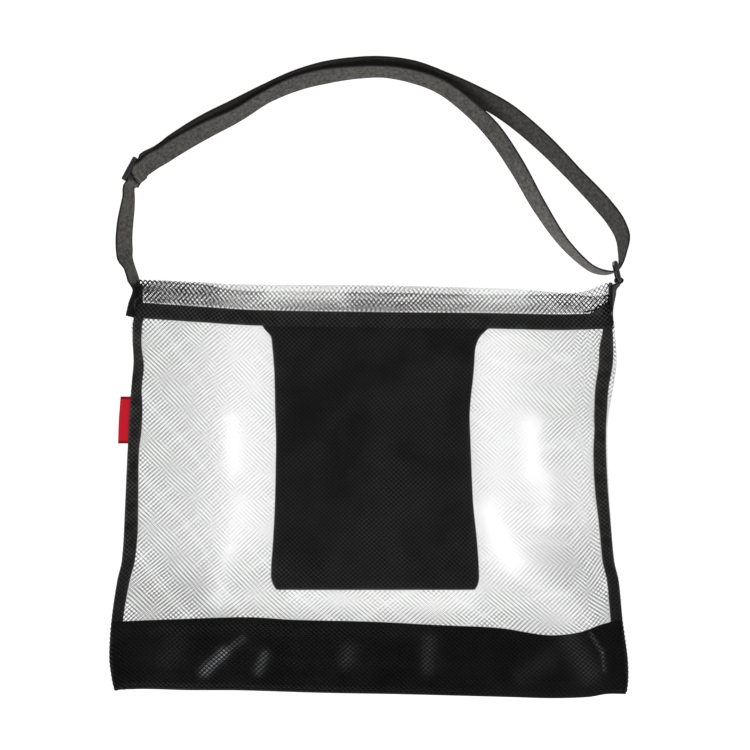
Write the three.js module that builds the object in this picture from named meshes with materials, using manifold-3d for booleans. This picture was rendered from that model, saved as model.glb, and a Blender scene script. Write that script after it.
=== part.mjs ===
// Mesh beach bag, lying on its back: two net panels with folded top hems, bound side and
// bottom seams, a bottom band of cloth, an inner pocket, a recessed zip, a webbing strap with
// its slide adjuster, and the ring and tab that hold the strap at the right corner.
// Millimetres. X runs across the bag, Y from its bottom seam to its top, Z up from the surface.
import Module from "manifold-3d";
import * as THREE from "three";
import { mergeVertices } from "three/addons/utils/BufferGeometryUtils.js";

// Bag, as it lies
const bottomWidth = 518;
const topWidth = 478;
const bagHeight = 411;
const bottomSag = 6;
const hemDip = 16;
const puffHeight = 16;
const seamRise = 2.2;
const seamRound = 6;
const ridgeHeight = 3;
const tabLift = 6;
const tabLiftReach = 62;

// Cloth, tapes and the gap between layers that touch
const netWall = 1.0;
const clothWall = 1.0;
const layerGap = 0.45;
const hemGap = 0.6;
const bindingWidth = 11.5;
const bindingThickness = 2.2;
const bandHeight = 64;

// Zip
const zipDepth = 24;
const zipDip = 12;
const zipTapeHeight = 15.5;
const zipTapeWall = 0.9;
const coilWidth = 6;
const coilThickness = 2.4;
const zipEndInset = 6;
const sliderLength = 12;
const sliderWidth = 4.6;
const sliderWall = 1.2;
const crownLength = 8;
const crownHeight = 6.6;
const crownWidth = 1.7;
const crownBar = 1.7;
const pullLength = 15.5;
const pullWidth = 3.8;
const pullThickness = 1.4;
const pullSlope = 10;
const partClearance = 0.35;

// Pocket
const pocketWidth = 200;
const pocketDepth = 268;
const pocketOffset = 3;
const pocketHollow = 7;
const pocketRound = 9;
const pocketShare = 0.58;
const pocketMouth = 20;

// Webbing strap and its hardware
const webWidth = 20;
const webThickness = 1.3;
const strapRise = 222;
const glideBar = 3.6;
const glideBarSpacing = 11;
const glideSide = 3.4;
const glideRail = 4.6;
const glideTilt = 33;
const glideHeading = 61.5;
const glideAcross = -0.0025;
const glideUp = 0.477;
const ringBar = 4;
const ringDepth = 22;
const ringCorner = 2.6;
const ringAcross = 1.0127;
const ringUp = 0.03;
const ringHeading = 102;
const tabReach = 40;
const tabBulge = 4;
const tabTilt = 6;

// Side label
const labelLength = 47;
const labelWidth = 10.5;
const labelThickness = 1.0;
const labelUp = 0.655;

const clothBlack = 0x1c1c1e;
const netBlack = 0x26272a;
const webGrey = 0x4f4e4b;
const labelRed = 0xc81e3a;

// How far each side edge stands from the middle line, as shares of half the local width
const outline = [
  { up: 0.0, left: 0.99, right: 0.988 },
  { up: 0.03, left: 1.003, right: 0.995 },
  { up: 0.08, left: 1.016, right: 0.996 },
  { up: 0.17, left: 1.015, right: 0.984 },
  { up: 0.267, left: 1.0, right: 0.976 },
  { up: 0.316, left: 0.986, right: 0.962 },
  { up: 0.437, left: 0.983, right: 0.955 },
  { up: 0.583, left: 0.983, right: 0.955 },
  { up: 0.655, left: 0.985, right: 0.963 },
  { up: 0.752, left: 0.98, right: 0.997 },
  { up: 0.801, left: 0.977, right: 1.01 },
  { up: 0.883, left: 0.99, right: 1.006 },
  { up: 0.925, left: 0.978, right: 0.998 },
  { up: 1.0, left: 0.975, right: 0.998 },
];

// Edges that run across: the bottom seam and the two hems, as shares of bottomSag and hemDip
const acrossEdges = [
  { across: -1.0, bottom: -0.17, front: 0.0, back: 0.0 },
  { across: -0.92, bottom: 0.5, front: 0.06, back: 0.0 },
  { across: -0.7, bottom: 0.33, front: 0.28, back: 0.15 },
  { across: -0.6, bottom: 0.33, front: 0.58, back: 0.25 },
  { across: -0.5, bottom: 0.3, front: 0.7, back: 0.28 },
  { across: -0.2, bottom: -0.1, front: 0.74, back: 0.31 },
  { across: 0.1, bottom: -0.33, front: 0.82, back: 0.35 },
  { across: 0.35, bottom: -0.6, front: 0.88, back: 0.45 },
  { across: 0.55, bottom: -0.83, front: 0.92, back: 0.52 },
  { across: 0.7, bottom: -1.0, front: 0.93, back: 0.68 },
  { across: 0.84, bottom: -0.8, front: 0.88, back: 0.82 },
  { across: 0.91, bottom: -0.3, front: 1.02, back: 0.62 },
  { across: 1.0, bottom: -0.33, front: 0.92, back: 0.1 },
];

// Zip line and the top of the bottom band, as shares of zipDip and bandHeight
const zipLine = [
  { across: -1.0, drop: -0.05 },
  { across: -0.7, drop: 0.33 },
  { across: -0.5, drop: 0.58 },
  { across: 0.0, drop: 0.76 },
  { across: 0.5, drop: 0.85 },
  { across: 0.8, drop: 0.96 },
  { across: 1.0, drop: 0.86 },
];
const bandTop = [
  { across: -1.0, height: 1.07 },
  { across: -0.75, height: 1.11 },
  { across: -0.47, height: 1.14 },
  { across: -0.3, height: 1.1 },
  { across: 0.0, height: 1.07 },
  { across: 0.25, height: 1.02 },
  { across: 0.5, height: 0.97 },
  { across: 0.68, height: 0.86 },
  { across: 0.8, height: 0.9 },
  { across: 0.9, height: 1.04 },
  { across: 1.0, height: 1.12 },
];

// Soft ridges pulled into the front net, as shares of half the bottom width and bagHeight
const ridges = [
  { fromAcross: -0.55, fromUp: 0.68, toAcross: -0.53, toUp: 0.53, height: 1.0, reach: 0.1 },
  { fromAcross: -0.5, fromUp: 0.46, toAcross: -0.58, toUp: 0.32, height: 0.8, reach: 0.1 },
  { fromAcross: 0.61, fromUp: 0.65, toAcross: 0.64, toUp: 0.42, height: 1.0, reach: 0.1 },
  { fromAcross: 0.55, fromUp: 0.37, toAcross: 0.7, toUp: 0.26, height: 0.8, reach: 0.1 },
];

// The binding's outer edge inside the net's edge, as shares of bindingWidth
const bindingInset = [
  { up: 0.0, left: 0.26, right: 0.26 },
  { up: 0.27, left: 0.26, right: 0.26 },
  { up: 0.44, left: 0.27, right: 0.3 },
  { up: 0.65, left: 0.27, right: 0.4 },
  { up: 0.72, left: 0.27, right: 0.56 },
  { up: 0.79, left: 0.28, right: 0.52 },
  { up: 0.85, left: 0.36, right: 0.32 },
  { up: 0.92, left: 0.36, right: 0.28 },
];

// The pocket's side edges, as shares of half its width, from its bottom fold up
const pocketOutline = [
  { up: 0.0, left: 0.97, right: 1.0 },
  { up: 0.02, left: 1.0, right: 1.03 },
  { up: 0.05, left: 1.02, right: 1.04 },
  { up: 0.175, left: 1.0, right: 1.02 },
  { up: 0.325, left: 0.98, right: 0.98 },
  { up: 0.55, left: 0.97, right: 0.955 },
  { up: 0.66, left: 0.98, right: 0.95 },
  { up: 0.81, left: 0.99, right: 0.99 },
  { up: 0.9, left: 1.01, right: 1.01 },
  { up: 0.94, left: 1.03, right: 1.06 },
  { up: 0.97, left: 1.1, right: 1.14 },
  { up: 1.0, left: 1.12, right: 1.16 },
];

// The strap from the left seam to the adjuster. tilt is from upright, in degrees, to the left
// of the run, and lift is the lower edge's height as a share of the webbing's width
const strapLeft = [
  { across: -0.0166, up: -0.171, tilt: 10, lift: 0.12 },
  { across: -0.0113, up: -0.113, tilt: 11, lift: 0.12 },
  { across: -0.0102, up: -0.054, tilt: 14, lift: 0.1 },
  { across: -0.0125, up: -0.004, tilt: 22, lift: 0.06 },
  { across: -0.019, up: 0.05, tilt: 38, lift: 0.02 },
  { across: -0.023, up: 0.108, tilt: 53, lift: 0.0 },
  { across: -0.0234, up: 0.18, tilt: 51, lift: 0.0 },
  { across: -0.021, up: 0.252, tilt: 46, lift: 0.01 },
  { across: -0.017, up: 0.324, tilt: 36, lift: 0.14 },
];

// From the adjuster over the arch, round the right loop, through the ring and back
const strapArch = [
  { across: 0.048, up: 0.565, tilt: 42, lift: 0.18 },
  { across: 0.078, up: 0.615, tilt: 46, lift: 0.08 },
  { across: 0.139, up: 0.7, tilt: 46, lift: 0.0 },
  { across: 0.204, up: 0.771, tilt: 42, lift: 0.0 },
  { across: 0.268, up: 0.839, tilt: 42, lift: 0.0 },
  { across: 0.331, up: 0.899, tilt: 46, lift: 0.0 },
  { across: 0.393, up: 0.94, tilt: 46, lift: 0.0 },
  { across: 0.458, up: 0.962, tilt: 42, lift: 0.0 },
  { across: 0.521, up: 0.966, tilt: 42, lift: 0.0 },
  { across: 0.585, up: 0.945, tilt: 46, lift: 0.0 },
  { across: 0.649, up: 0.893, tilt: 51, lift: 0.0 },
  { across: 0.716, up: 0.827, tilt: 61, lift: 0.0 },
  { across: 0.782, up: 0.748, tilt: 70, lift: 0.0 },
  { across: 0.856, up: 0.617, tilt: 61, lift: 0.0 },
  { across: 0.923, up: 0.472, tilt: 50, lift: 0.0 },
  { across: 0.982, up: 0.34, tilt: 57, lift: 0.0 },
  { across: 1.013, up: 0.255, tilt: 54, lift: 0.0 },
  { across: 1.027, up: 0.185, tilt: 42, lift: 0.02 },
  { across: 1.026, up: 0.12, tilt: 20, lift: 0.12 },
  { across: 1.0205, up: 0.06, tilt: 4, lift: 0.225 },
  { across: 1.0115, up: 0.034, tilt: 0, lift: 0.225 },
  { across: 0.9905, up: 0.027, tilt: -10, lift: 0.2 },
  { across: 0.966, up: 0.04, tilt: -16, lift: 0.12 },
  { across: 0.946, up: 0.068, tilt: -18, lift: 0.06 },
  { across: 0.901, up: 0.165, tilt: -27, lift: 0.0 },
  { across: 0.851, up: 0.323, tilt: -42, lift: 0.0 },
  { across: 0.801, up: 0.512, tilt: -51, lift: 0.0 },
  { across: 0.751, up: 0.667, tilt: -56, lift: 0.0 },
  { across: 0.701, up: 0.772, tilt: -48, lift: 0.0 },
  { across: 0.642, up: 0.864, tilt: -44, lift: 0.0 },
  { across: 0.58, up: 0.911, tilt: -38, lift: 0.0 },
  { across: 0.52, up: 0.931, tilt: -32, lift: 0.0 },
  { across: 0.46, up: 0.927, tilt: -35, lift: 0.0 },
  { across: 0.397, up: 0.911, tilt: -46, lift: 0.0 },
  { across: 0.334, up: 0.877, tilt: -45, lift: 0.0 },
  { across: 0.272, up: 0.817, tilt: -36, lift: 0.0 },
  { across: 0.212, up: 0.735, tilt: -38, lift: 0.0 },
  { across: 0.149, up: 0.664, tilt: -48, lift: 0.0 },
  { across: 0.084, up: 0.59, tilt: -50, lift: 0.16 },
  { across: 0.056, up: 0.548, tilt: -44, lift: 0.24 },
];

// The free tail, which lies between the adjuster and the strap that comes down to it
const strapTail = [
  { across: 0.0511, up: 0.5536, tilt: -42, lift: 0.22 },
  { across: 0.072, up: 0.588, tilt: -45, lift: 0.13 },
];

function mix(a, b, t) {
  return a + (b - a) * t;
}

function clamp01(t) {
  return Math.min(1, Math.max(0, t));
}

function smooth(t) {
  const s = clamp01(t);
  return s * s * (3 - 2 * s);
}

function roundRise(t) {
  const s = 1 - clamp01(t);
  return Math.sqrt(1 - s * s);
}

// Reads one column of a table at a place along it, with a smooth curve through the rows
function column(table, along, place, name) {
  const last = table.length - 1;
  const p = Math.min(table[last][along], Math.max(table[0][along], place));
  let i = 0;
  while (i < last - 1 && table[i + 1][along] < p) {
    i += 1;
  }
  const a = table[i];
  const b = table[i + 1];
  const before = table[Math.max(0, i - 1)];
  const after = table[Math.min(last, i + 2)];
  const span = b[along] - a[along];
  const t = (p - a[along]) / span;
  const slopeA = ((b[name] - before[name]) / (b[along] - before[along])) * span;
  const slopeB = ((after[name] - a[name]) / (after[along] - a[along])) * span;
  const t2 = t * t;
  const t3 = t2 * t;
  return (
    (2 * t3 - 3 * t2 + 1) * a[name] +
    (t3 - 2 * t2 + t) * slopeA +
    (3 * t2 - 2 * t3) * b[name] +
    (t3 - t2) * slopeB
  );
}

// The bag's plan, measured from the middle of its bottom seam
function halfWidth(y) {
  return mix(bottomWidth, topWidth, clamp01(y / bagHeight)) / 2;
}

function leftEdge(y) {
  return -halfWidth(y) * column(outline, "up", y / bagHeight, "left");
}

function rightEdge(y) {
  return halfWidth(y) * column(outline, "up", y / bagHeight, "right");
}

function acrossAt(x) {
  return x / (bottomWidth / 2);
}

function bottomEdge(x) {
  return bottomSag * column(acrossEdges, "across", acrossAt(x), "bottom");
}

function hemEdge(x, side) {
  const share = column(acrossEdges, "across", x / (topWidth / 2), side);
  return bagHeight - hemDip * share;
}

function zipTop(x) {
  const share = column(zipLine, "across", x / (topWidth / 2), "drop");
  return bagHeight - zipDepth - zipDip * share;
}

function bandEdge(x) {
  return bandHeight * column(bandTop, "across", acrossAt(x), "height");
}

function edgeDistance(x, y) {
  const side = Math.min(x - leftEdge(y), rightEdge(y) - x);
  return Math.max(0, Math.min(side, y - bottomEdge(x)));
}

// Heights: the back net's underside, then the front net's underside
const zipLow = bagHeight - zipDepth - zipDip;
const anchorY = bagHeight - zipDepth / 2;

function cornerLift(x, y) {
  const left = Math.hypot(x - leftEdge(y), y - anchorY) / tabLiftReach;
  const right = Math.hypot(x - rightEdge(y), y - anchorY) / tabLiftReach;
  return tabLift * (1 - smooth(Math.min(left, right)));
}

function backLow(x, y) {
  return cornerLift(x, y) + seamRise * (1 - roundRise(edgeDistance(x, y) / seamRound));
}

function backHigh(x, y) {
  return backLow(x, y) + netWall;
}

function liningRoom(y) {
  const overBand = 1 - smooth((y - 1.25 * bandHeight) / bandHeight);
  const atZip = smooth((y - (zipLow - 3 * zipTapeHeight)) / zipTapeHeight);
  return (clothWall + layerGap) * Math.max(overBand, atZip);
}

function seamStack(y) {
  const bound = layerGap + bindingThickness + layerGap + 2 * liningRoom(y);
  const zipped = 2 * (layerGap + zipTapeWall + layerGap) + coilWidth;
  return mix(bound, zipped, smooth((y - (zipLow - 4 * zipDepth)) / (3 * zipDepth)));
}

function seamGap(y) {
  const hems = 2 * (hemGap + netWall) * smooth((y - (zipLow - zipDepth)) / zipDepth);
  return layerGap + hems;
}

function ridgeAt(x, y) {
  let total = 0;
  for (const ridge of ridges) {
    const ax = (ridge.fromAcross * bottomWidth) / 2;
    const ay = ridge.fromUp * bagHeight;
    const dx = (ridge.toAcross * bottomWidth) / 2 - ax;
    const dy = ridge.toUp * bagHeight - ay;
    const t = clamp01(((x - ax) * dx + (y - ay) * dy) / (dx * dx + dy * dy));
    const away = Math.hypot(x - ax - t * dx, y - ay - t * dy) / ((ridge.reach * bottomWidth) / 2);
    total += ridgeHeight * ridge.height * Math.exp(-away * away);
  }
  return total;
}

function roof(x, y) {
  const d = edgeDistance(x, y);
  const across = Math.min(1, Math.abs(x) / (halfWidth(y) - bindingWidth));
  const rise = smooth(y / (0.34 * bagHeight));
  const fall = 1 - smooth((y - 0.5 * bagHeight) / (0.5 * bagHeight - zipDepth - zipDip));
  const swell = puffHeight * rise * fall * (1 - across ** 2.4);
  const inner = smooth((d - bindingWidth) / (2 * bindingWidth));
  const stack = mix(seamGap(y), seamStack(y), roundRise(d / seamRound));
  return backHigh(x, y) + stack + inner * (swell + ridgeAt(x, y));
}

// Solids
function solid(positions, triangles) {
  let volume = 0;
  for (const [a, b, c] of triangles) {
    volume += positions[a].dot(new THREE.Vector3().crossVectors(positions[b], positions[c]));
  }
  const index = [];
  for (const [a, b, c] of triangles) {
    index.push(...(volume > 0 ? [a, b, c] : [a, c, b]));
  }
  const geometry = new THREE.BufferGeometry();
  geometry.setAttribute(
    "position",
    new THREE.Float32BufferAttribute(positions.flatMap((p) => p.toArray()), 3),
  );
  geometry.setIndex(index);
  geometry.computeVertexNormals();
  return geometry;
}

function direction(before, here, after) {
  const back = new THREE.Vector3().subVectors(here, before);
  const on = new THREE.Vector3().subVectors(after, here);
  if (back.length() > 0) {
    back.normalize();
  }
  if (on.length() > 0) {
    on.normalize();
  }
  return back.add(on).normalize();
}

// A closed wall from two grids of points, one for each face
function wallBetween(lower, upper) {
  const rows = lower.length;
  const columns = lower[0].length;
  const positions = [...lower.flat(), ...upper.flat()];
  const at = (face, j, i) => face * rows * columns + j * columns + i;
  const triangles = [];
  const quad = (a, b, c, d) => triangles.push([a, b, c], [a, c, d]);
  for (let j = 0; j < rows - 1; j += 1) {
    for (let i = 0; i < columns - 1; i += 1) {
      quad(at(1, j, i), at(1, j, i + 1), at(1, j + 1, i + 1), at(1, j + 1, i));
      quad(at(0, j, i), at(0, j + 1, i), at(0, j + 1, i + 1), at(0, j, i + 1));
    }
  }
  for (let i = 0; i < columns - 1; i += 1) {
    quad(at(0, 0, i), at(0, 0, i + 1), at(1, 0, i + 1), at(1, 0, i));
    quad(at(1, rows - 1, i), at(1, rows - 1, i + 1), at(0, rows - 1, i + 1), at(0, rows - 1, i));
  }
  for (let j = 0; j < rows - 1; j += 1) {
    quad(at(1, j, 0), at(1, j + 1, 0), at(0, j + 1, 0), at(0, j, 0));
    quad(at(0, j, columns - 1), at(0, j + 1, columns - 1), at(1, j + 1, columns - 1), at(1, j, columns - 1));
  }
  return solid(positions, triangles);
}

// A wall of even thickness, from the grid of its inner face
function wallFrom(grid, thickness, side) {
  const last = grid.length - 1;
  const end = grid[0].length - 1;
  const outer = grid.map((row, j) =>
    row.map((p, i) => {
      const along = direction(row[Math.max(0, i - 1)], p, row[Math.min(end, i + 1)]);
      const up = direction(grid[Math.max(0, j - 1)][i], p, grid[Math.min(last, j + 1)][i]);
      const normal = new THREE.Vector3().crossVectors(along, up).normalize();
      return p.clone().addScaledVector(normal, side * thickness);
    }),
  );
  return wallBetween(grid, outer);
}

function stations(insets, count) {
  const inner = insets[insets.length - 1];
  const list = insets.map((inset) => ({ share: 0, inset }));
  for (let k = 1; k < count; k += 1) {
    list.push({ share: k / count, inset: inner * (1 - (2 * k) / count) });
  }
  for (const inset of [...insets].reverse()) {
    list.push({ share: 1, inset: -inset });
  }
  return list;
}

function atStation(low, high, station) {
  return mix(low, high, station.share) + station.inset;
}

// A net panel: up its length, round its hem's fold and down the hem's inner layer
const seamInsets = [0, 0.8, 2.6, seamRound, bindingWidth + layerGap];
const netColumns = 14;
const netStations = stations(seamInsets, netColumns);

function acrossRow(list, heightAt) {
  return list.map((s) => {
    const guess = atStation(leftEdge(heightAt(0)), rightEdge(heightAt(0)), s);
    const y = heightAt(guess);
    return [atStation(leftEdge(y), rightEdge(y), s), y];
  });
}

function netPanel(side, rowCount) {
  const front = side === "front";
  const face = front ? roof : backHigh;
  const into = front ? -1 : 1;
  const list = netStations;
  const foldRadius = hemGap / 2;
  const tapeLow = (x) => zipTop(x) - zipTapeHeight;
  const fold = (x) => hemEdge(x, side) - netWall - foldRadius;
  const hemMiddle = (x) => mix(zipTop(x), fold(x), 0.5);
  const grid = [];
  const addRow = (heightAt, drop = 0, reach = 0) => {
    const row = acrossRow(list, heightAt);
    grid.push(row.map(([x, y]) => new THREE.Vector3(x, y + reach, face(x, y) + into * drop)));
  };
  for (const inset of seamInsets) {
    addRow((x) => bottomEdge(x) + inset);
  }
  const low = seamInsets[seamInsets.length - 1];
  for (let k = 1; k <= rowCount; k += 1) {
    addRow((x) => mix(bottomEdge(x) + low, tapeLow(x), k / rowCount));
  }
  addRow((x) => zipTop(x) - zipTapeHeight / 2);
  addRow((x) => zipTop(x));
  addRow(hemMiddle);
  const foldSteps = 4;
  for (let k = 0; k <= foldSteps; k += 1) {
    const turn = (Math.PI * k) / foldSteps;
    addRow(fold, foldRadius * (1 - Math.cos(turn)), foldRadius * Math.sin(turn));
  }
  addRow(hemMiddle, hemGap);
  addRow((x) => zipTop(x) + 3 * layerGap, hemGap);
  return wallFrom(grid, netWall, front ? 1 : -1);
}

// A lining lies against the inside of one net: under the front one or on the back one
function lining(side, rowHeights, wall) {
  const kept = netStations.filter((s) => s.share % 1 > 0 || Math.abs(s.inset) >= seamRound);
  const low = [];
  const high = [];
  for (const heightAt of rowHeights) {
    const row = acrossRow(kept, heightAt);
    const top = ([x, y]) => (side === "front" ? roof(x, y) - layerGap : backHigh(x, y) + layerGap + wall);
    low.push(row.map((p) => new THREE.Vector3(p[0], p[1], top(p) - wall)));
    high.push(row.map((p) => new THREE.Vector3(p[0], p[1], top(p))));
  }
  return wallBetween(low, high);
}

function bandPanel(side) {
  const start = (x) => bottomEdge(x) + seamRound;
  const rows = [start];
  for (let k = 0; k <= 5; k += 1) {
    rows.push((x) => mix(start(x) + seamRound, bandEdge(x), k / 5));
  }
  return lining(side, rows, clothWall);
}

function zipTape(side) {
  const rows = [1, 0.5, 0].map((share) => (x) => zipTop(x) - zipTapeHeight * share);
  return lining(side, rows, zipTapeWall);
}

// The binding folds over the seam's raw edges and lies on the back net or its lining
function bindingStrip(places) {
  const low = [];
  const high = [];
  for (const place of places) {
    const lowRow = [];
    const highRow = [];
    for (const share of [0, 0.12, 0.5, 0.88, 1]) {
      const [x, y] = place(share * bindingWidth);
      const rounding = share === 0 || share === 1 ? bindingThickness / 4 : 0;
      const z = backHigh(x, y) + layerGap + liningRoom(y);
      lowRow.push(new THREE.Vector3(x, y, z + rounding));
      highRow.push(new THREE.Vector3(x, y, z + bindingThickness - rounding));
    }
    low.push(lowRow);
    high.push(highRow);
  }
  return wallBetween(low, high);
}

function bindingSide(side) {
  const count = 24;
  const left = side === "left";
  const edge = left ? leftEdge : rightEdge;
  const start = bottomEdge(edge(0)) + seamRound;
  const lowestZip = Math.min(zipTop(leftEdge(zipLow)), zipTop(rightEdge(zipLow)));
  const end = lowestZip - coilThickness / 2 - plateOut - sliderWall - layerGap;
  const places = [];
  for (let j = 0; j <= count; j += 1) {
    const y = mix(start, end, j / count);
    const inset = bindingWidth * column(bindingInset, "up", y / bagHeight, side);
    places.push((width) => [edge(y) + (left ? 1 : -1) * (inset + width), y]);
  }
  return bindingStrip(places);
}

function bindingBottom() {
  const count = 24;
  const room = bindingWidth * (1 + bindingInset[0].left) + layerGap;
  const places = [];
  for (let i = 0; i <= count; i += 1) {
    const x = mix(leftEdge(0) + room, rightEdge(0) - room, i / count);
    places.push((width) => [x, bottomEdge(x) + bindingInset[0].left * bindingWidth + width]);
  }
  return bindingStrip(places);
}

// The pocket hangs from the zip tape: its front wall lies under the front net, and its back
// wall swells away from it and stops short of the top, which leaves the mouth
const pocketTop = zipLow - zipTapeHeight / 3;

function pocketSide(y, side) {
  const share = column(pocketOutline, "up", (y - pocketTop + pocketDepth) / pocketDepth, side);
  const away = (pocketWidth / 2) * share;
  return side === "left" ? pocketOffset - away : pocketOffset + away;
}

function pocketUnder(x, y) {
  const underTape = smooth((y - (pocketTop - 3 * zipTapeHeight)) / (1.5 * zipTapeHeight));
  return roof(x, y) - layerGap - (zipTapeWall + layerGap) * underTape;
}

function pocketWall(which) {
  const across = stations([0, 1.5, 4, pocketRound], 8);
  const bottom = pocketTop - pocketDepth;
  const top = which === "front" ? pocketTop : pocketTop - pocketMouth;
  const ups = stations([0, 1.5, 4, pocketRound], 12).filter((s) => s.share < 1);
  ups.push({ share: 1, inset: 0 });
  const low = [];
  const high = [];
  for (const up of ups) {
    const y = atStation(bottom, top, up);
    const lowRow = [];
    const highRow = [];
    for (const s of across) {
      const x = atStation(pocketSide(y, "left"), pocketSide(y, "right"), s);
      let z = pocketUnder(x, y);
      if (which === "back") {
        const side = Math.min(x - pocketSide(y, "left"), pocketSide(y, "right") - x);
        const d = Math.min(side, y - bottom);
        const room = z - backHigh(x, y) - 2 * (clothWall + layerGap);
        z -= clothWall + layerGap + Math.min(pocketHollow, room * pocketShare) * roundRise(d / pocketRound);
      }
      lowRow.push(new THREE.Vector3(x, y, z - clothWall));
      highRow.push(new THREE.Vector3(x, y, z));
    }
    low.push(lowRow);
    high.push(highRow);
  }
  return wallBetween(low, high);
}

// Zip coil, its slider and the slider's pull
function coilMiddle(x) {
  const y = zipTop(x) - coilThickness / 2;
  return new THREE.Vector3(x, y, backHigh(x, y) + 2 * layerGap + zipTapeWall + coilWidth / 2);
}

const sliderX = rightEdge(zipLow) - netWall - zipEndInset - sliderLength / 2;
const sliderNeck = sliderLength / 4;
const sliderAt = coilMiddle(sliderX);

function zipCoil() {
  const start = leftEdge(bagHeight) + zipEndInset + bindingWidth;
  const end = sliderX + sliderLength / 2 - sliderNeck - partClearance;
  const places = netStations.map((s) => atStation(leftEdge(zipLow), rightEdge(zipLow), s));
  const inside = places.filter((x) => x > start + netWall && x < end - netWall);
  const low = [];
  const high = [];
  for (const x of [start, ...inside, end]) {
    const p = coilMiddle(x);
    const lowRow = [];
    const highRow = [];
    for (const share of [-1, -0.5, 0.5, 1]) {
      const half = (Math.abs(share) === 1 ? 0.25 : 0.5) * coilThickness;
      const z = p.z + (share * coilWidth) / 2;
      lowRow.push(new THREE.Vector3(p.x, p.y - half, z));
      highRow.push(new THREE.Vector3(p.x, p.y + half, z));
    }
    low.push(lowRow);
    high.push(highRow);
  }
  return wallBetween(low, high);
}

function profile(points) {
  return new THREE.Shape(points.map(([x, y]) => new THREE.Vector2(x, y)));
}

function extruded(shape, thickness) {
  const geometry = new THREE.ExtrudeGeometry(shape, {
    depth: thickness,
    bevelEnabled: false,
    curveSegments: 4,
  });
  return geometry.translate(0, 0, -thickness / 2);
}

const wasm = await Module();
wasm.setup();

function toSolid(geometry) {
  const plain = geometry.clone();
  plain.deleteAttribute("normal");
  plain.deleteAttribute("uv");
  const merged = mergeVertices(plain, 1e-4);
  return new wasm.Manifold(
    new wasm.Mesh({
      numProp: 3,
      vertProperties: new Float32Array(merged.attributes.position.array),
      triVerts: new Uint32Array(merged.index.array),
    }),
  );
}

function fromSolid(body) {
  const result = body.getMesh();
  const geometry = new THREE.BufferGeometry();
  geometry.setAttribute("position", new THREE.Float32BufferAttribute(result.vertProperties, 3));
  geometry.setIndex([...result.triVerts]);
  geometry.computeVertexNormals();
  return geometry;
}

function joined(geometries) {
  return fromSolid(geometries.map(toSolid).reduce((all, body) => all.add(body)));
}

// Two plates joined by a neck past the coil's end, and the crown that the pull hangs on
const plateOut = coilThickness / 2 + layerGap;
const crownRoom = crownHeight - crownBar;

function zipSlider() {
  const half = sliderLength / 2;
  const outer = plateOut + sliderWall;
  const body = extruded(
    profile([
      [-half, plateOut],
      [half - sliderNeck, plateOut],
      [half - sliderNeck, -plateOut],
      [-half, -plateOut],
      [-half, -outer],
      [half, -outer],
      [half, outer],
      [-half, outer],
    ]),
    sliderWidth,
  );
  const crown = crownLength / 2;
  const arch = profile([
    [-crown, outer - sliderWall / 2],
    [crown, outer - sliderWall / 2],
    [crown, outer + crownHeight * 0.7],
    [crown * 0.6, outer + crownHeight],
    [-crown * 0.6, outer + crownHeight],
    [-crown, outer + crownHeight * 0.7],
  ]);
  const room = crown - crownBar;
  const gap = [
    [-room, outer],
    [room, outer],
    [room, outer + crownRoom * 0.7],
    [room * 0.6, outer + crownRoom],
    [-room * 0.6, outer + crownRoom],
    [-room, outer + crownRoom * 0.7],
  ];
  arch.holes.push(new THREE.Path(gap.map(([x, y]) => new THREE.Vector2(x, y))));
  return joined([body, extruded(arch, crownWidth)]);
}

// The pull's eye goes round the crown's left leg and the pull lies back along the coil
function zipPull() {
  const leg = crownLength / 2 - crownBar;
  const half = pullWidth / 2;
  const bar = crownBar * 0.85;
  const outline = profile([
    [0, -half],
    [pullLength - half / 2, -half],
    [pullLength, -half / 2],
    [pullLength, half / 2],
    [pullLength - half / 2, half],
    [0, half],
  ]);
  const eye = crownWidth / 2 + partClearance;
  const eyeEnd = bar + crownBar + 4 * partClearance;
  const hole = [
    [bar, -eye],
    [eyeEnd, -eye],
    [eyeEnd, eye],
    [bar, eye],
  ];
  outline.holes.push(new THREE.Path(hole.map(([x, y]) => new THREE.Vector2(x, y))));
  const geometry = extruded(outline, pullThickness);
  geometry.rotateX(-Math.PI / 2);
  geometry.rotateY(Math.PI);
  geometry.rotateZ(THREE.MathUtils.degToRad(pullSlope));
  const start = bar + partClearance - leg;
  return geometry.translate(start, plateOut + sliderWall + crownRoom / 2, 0);
}

// The strap and the pieces that it runs through
const leftAnchor = leftEdge(bagHeight);
const rightAnchor = rightEdge(bagHeight);

function strapPlace(row) {
  return new THREE.Vector2(mix(leftAnchor, rightAnchor, row.across), bagHeight + strapRise * row.up);
}

const turnOf = THREE.MathUtils.degToRad;
const upright = new THREE.Vector3(0, 0, 1);
const glideCentre = strapPlace({ across: glideAcross, up: glideUp });
const glideAlong = new THREE.Vector3(Math.cos(turnOf(glideHeading)), Math.sin(turnOf(glideHeading)), 0);
const glideUpward = new THREE.Vector3(-glideAlong.y, glideAlong.x, 0)
  .multiplyScalar(Math.sin(turnOf(glideTilt)))
  .addScaledVector(upright, Math.cos(turnOf(glideTilt)));
const glideFacing = new THREE.Vector3().crossVectors(glideAlong, glideUpward);
const glideHalf = webWidth / 2 + partClearance + glideSide;
const glideHeight = glideHalf * Math.cos(turnOf(glideTilt)) + (glideRail / 2) * Math.sin(turnOf(glideTilt));
const glideOrigin = new THREE.Vector3(glideCentre.x, glideCentre.y, glideHeight);

function inGlide(along, facing) {
  return glideOrigin
    .clone()
    .addScaledVector(glideAlong, along)
    .addScaledVector(glideFacing, facing);
}

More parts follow.
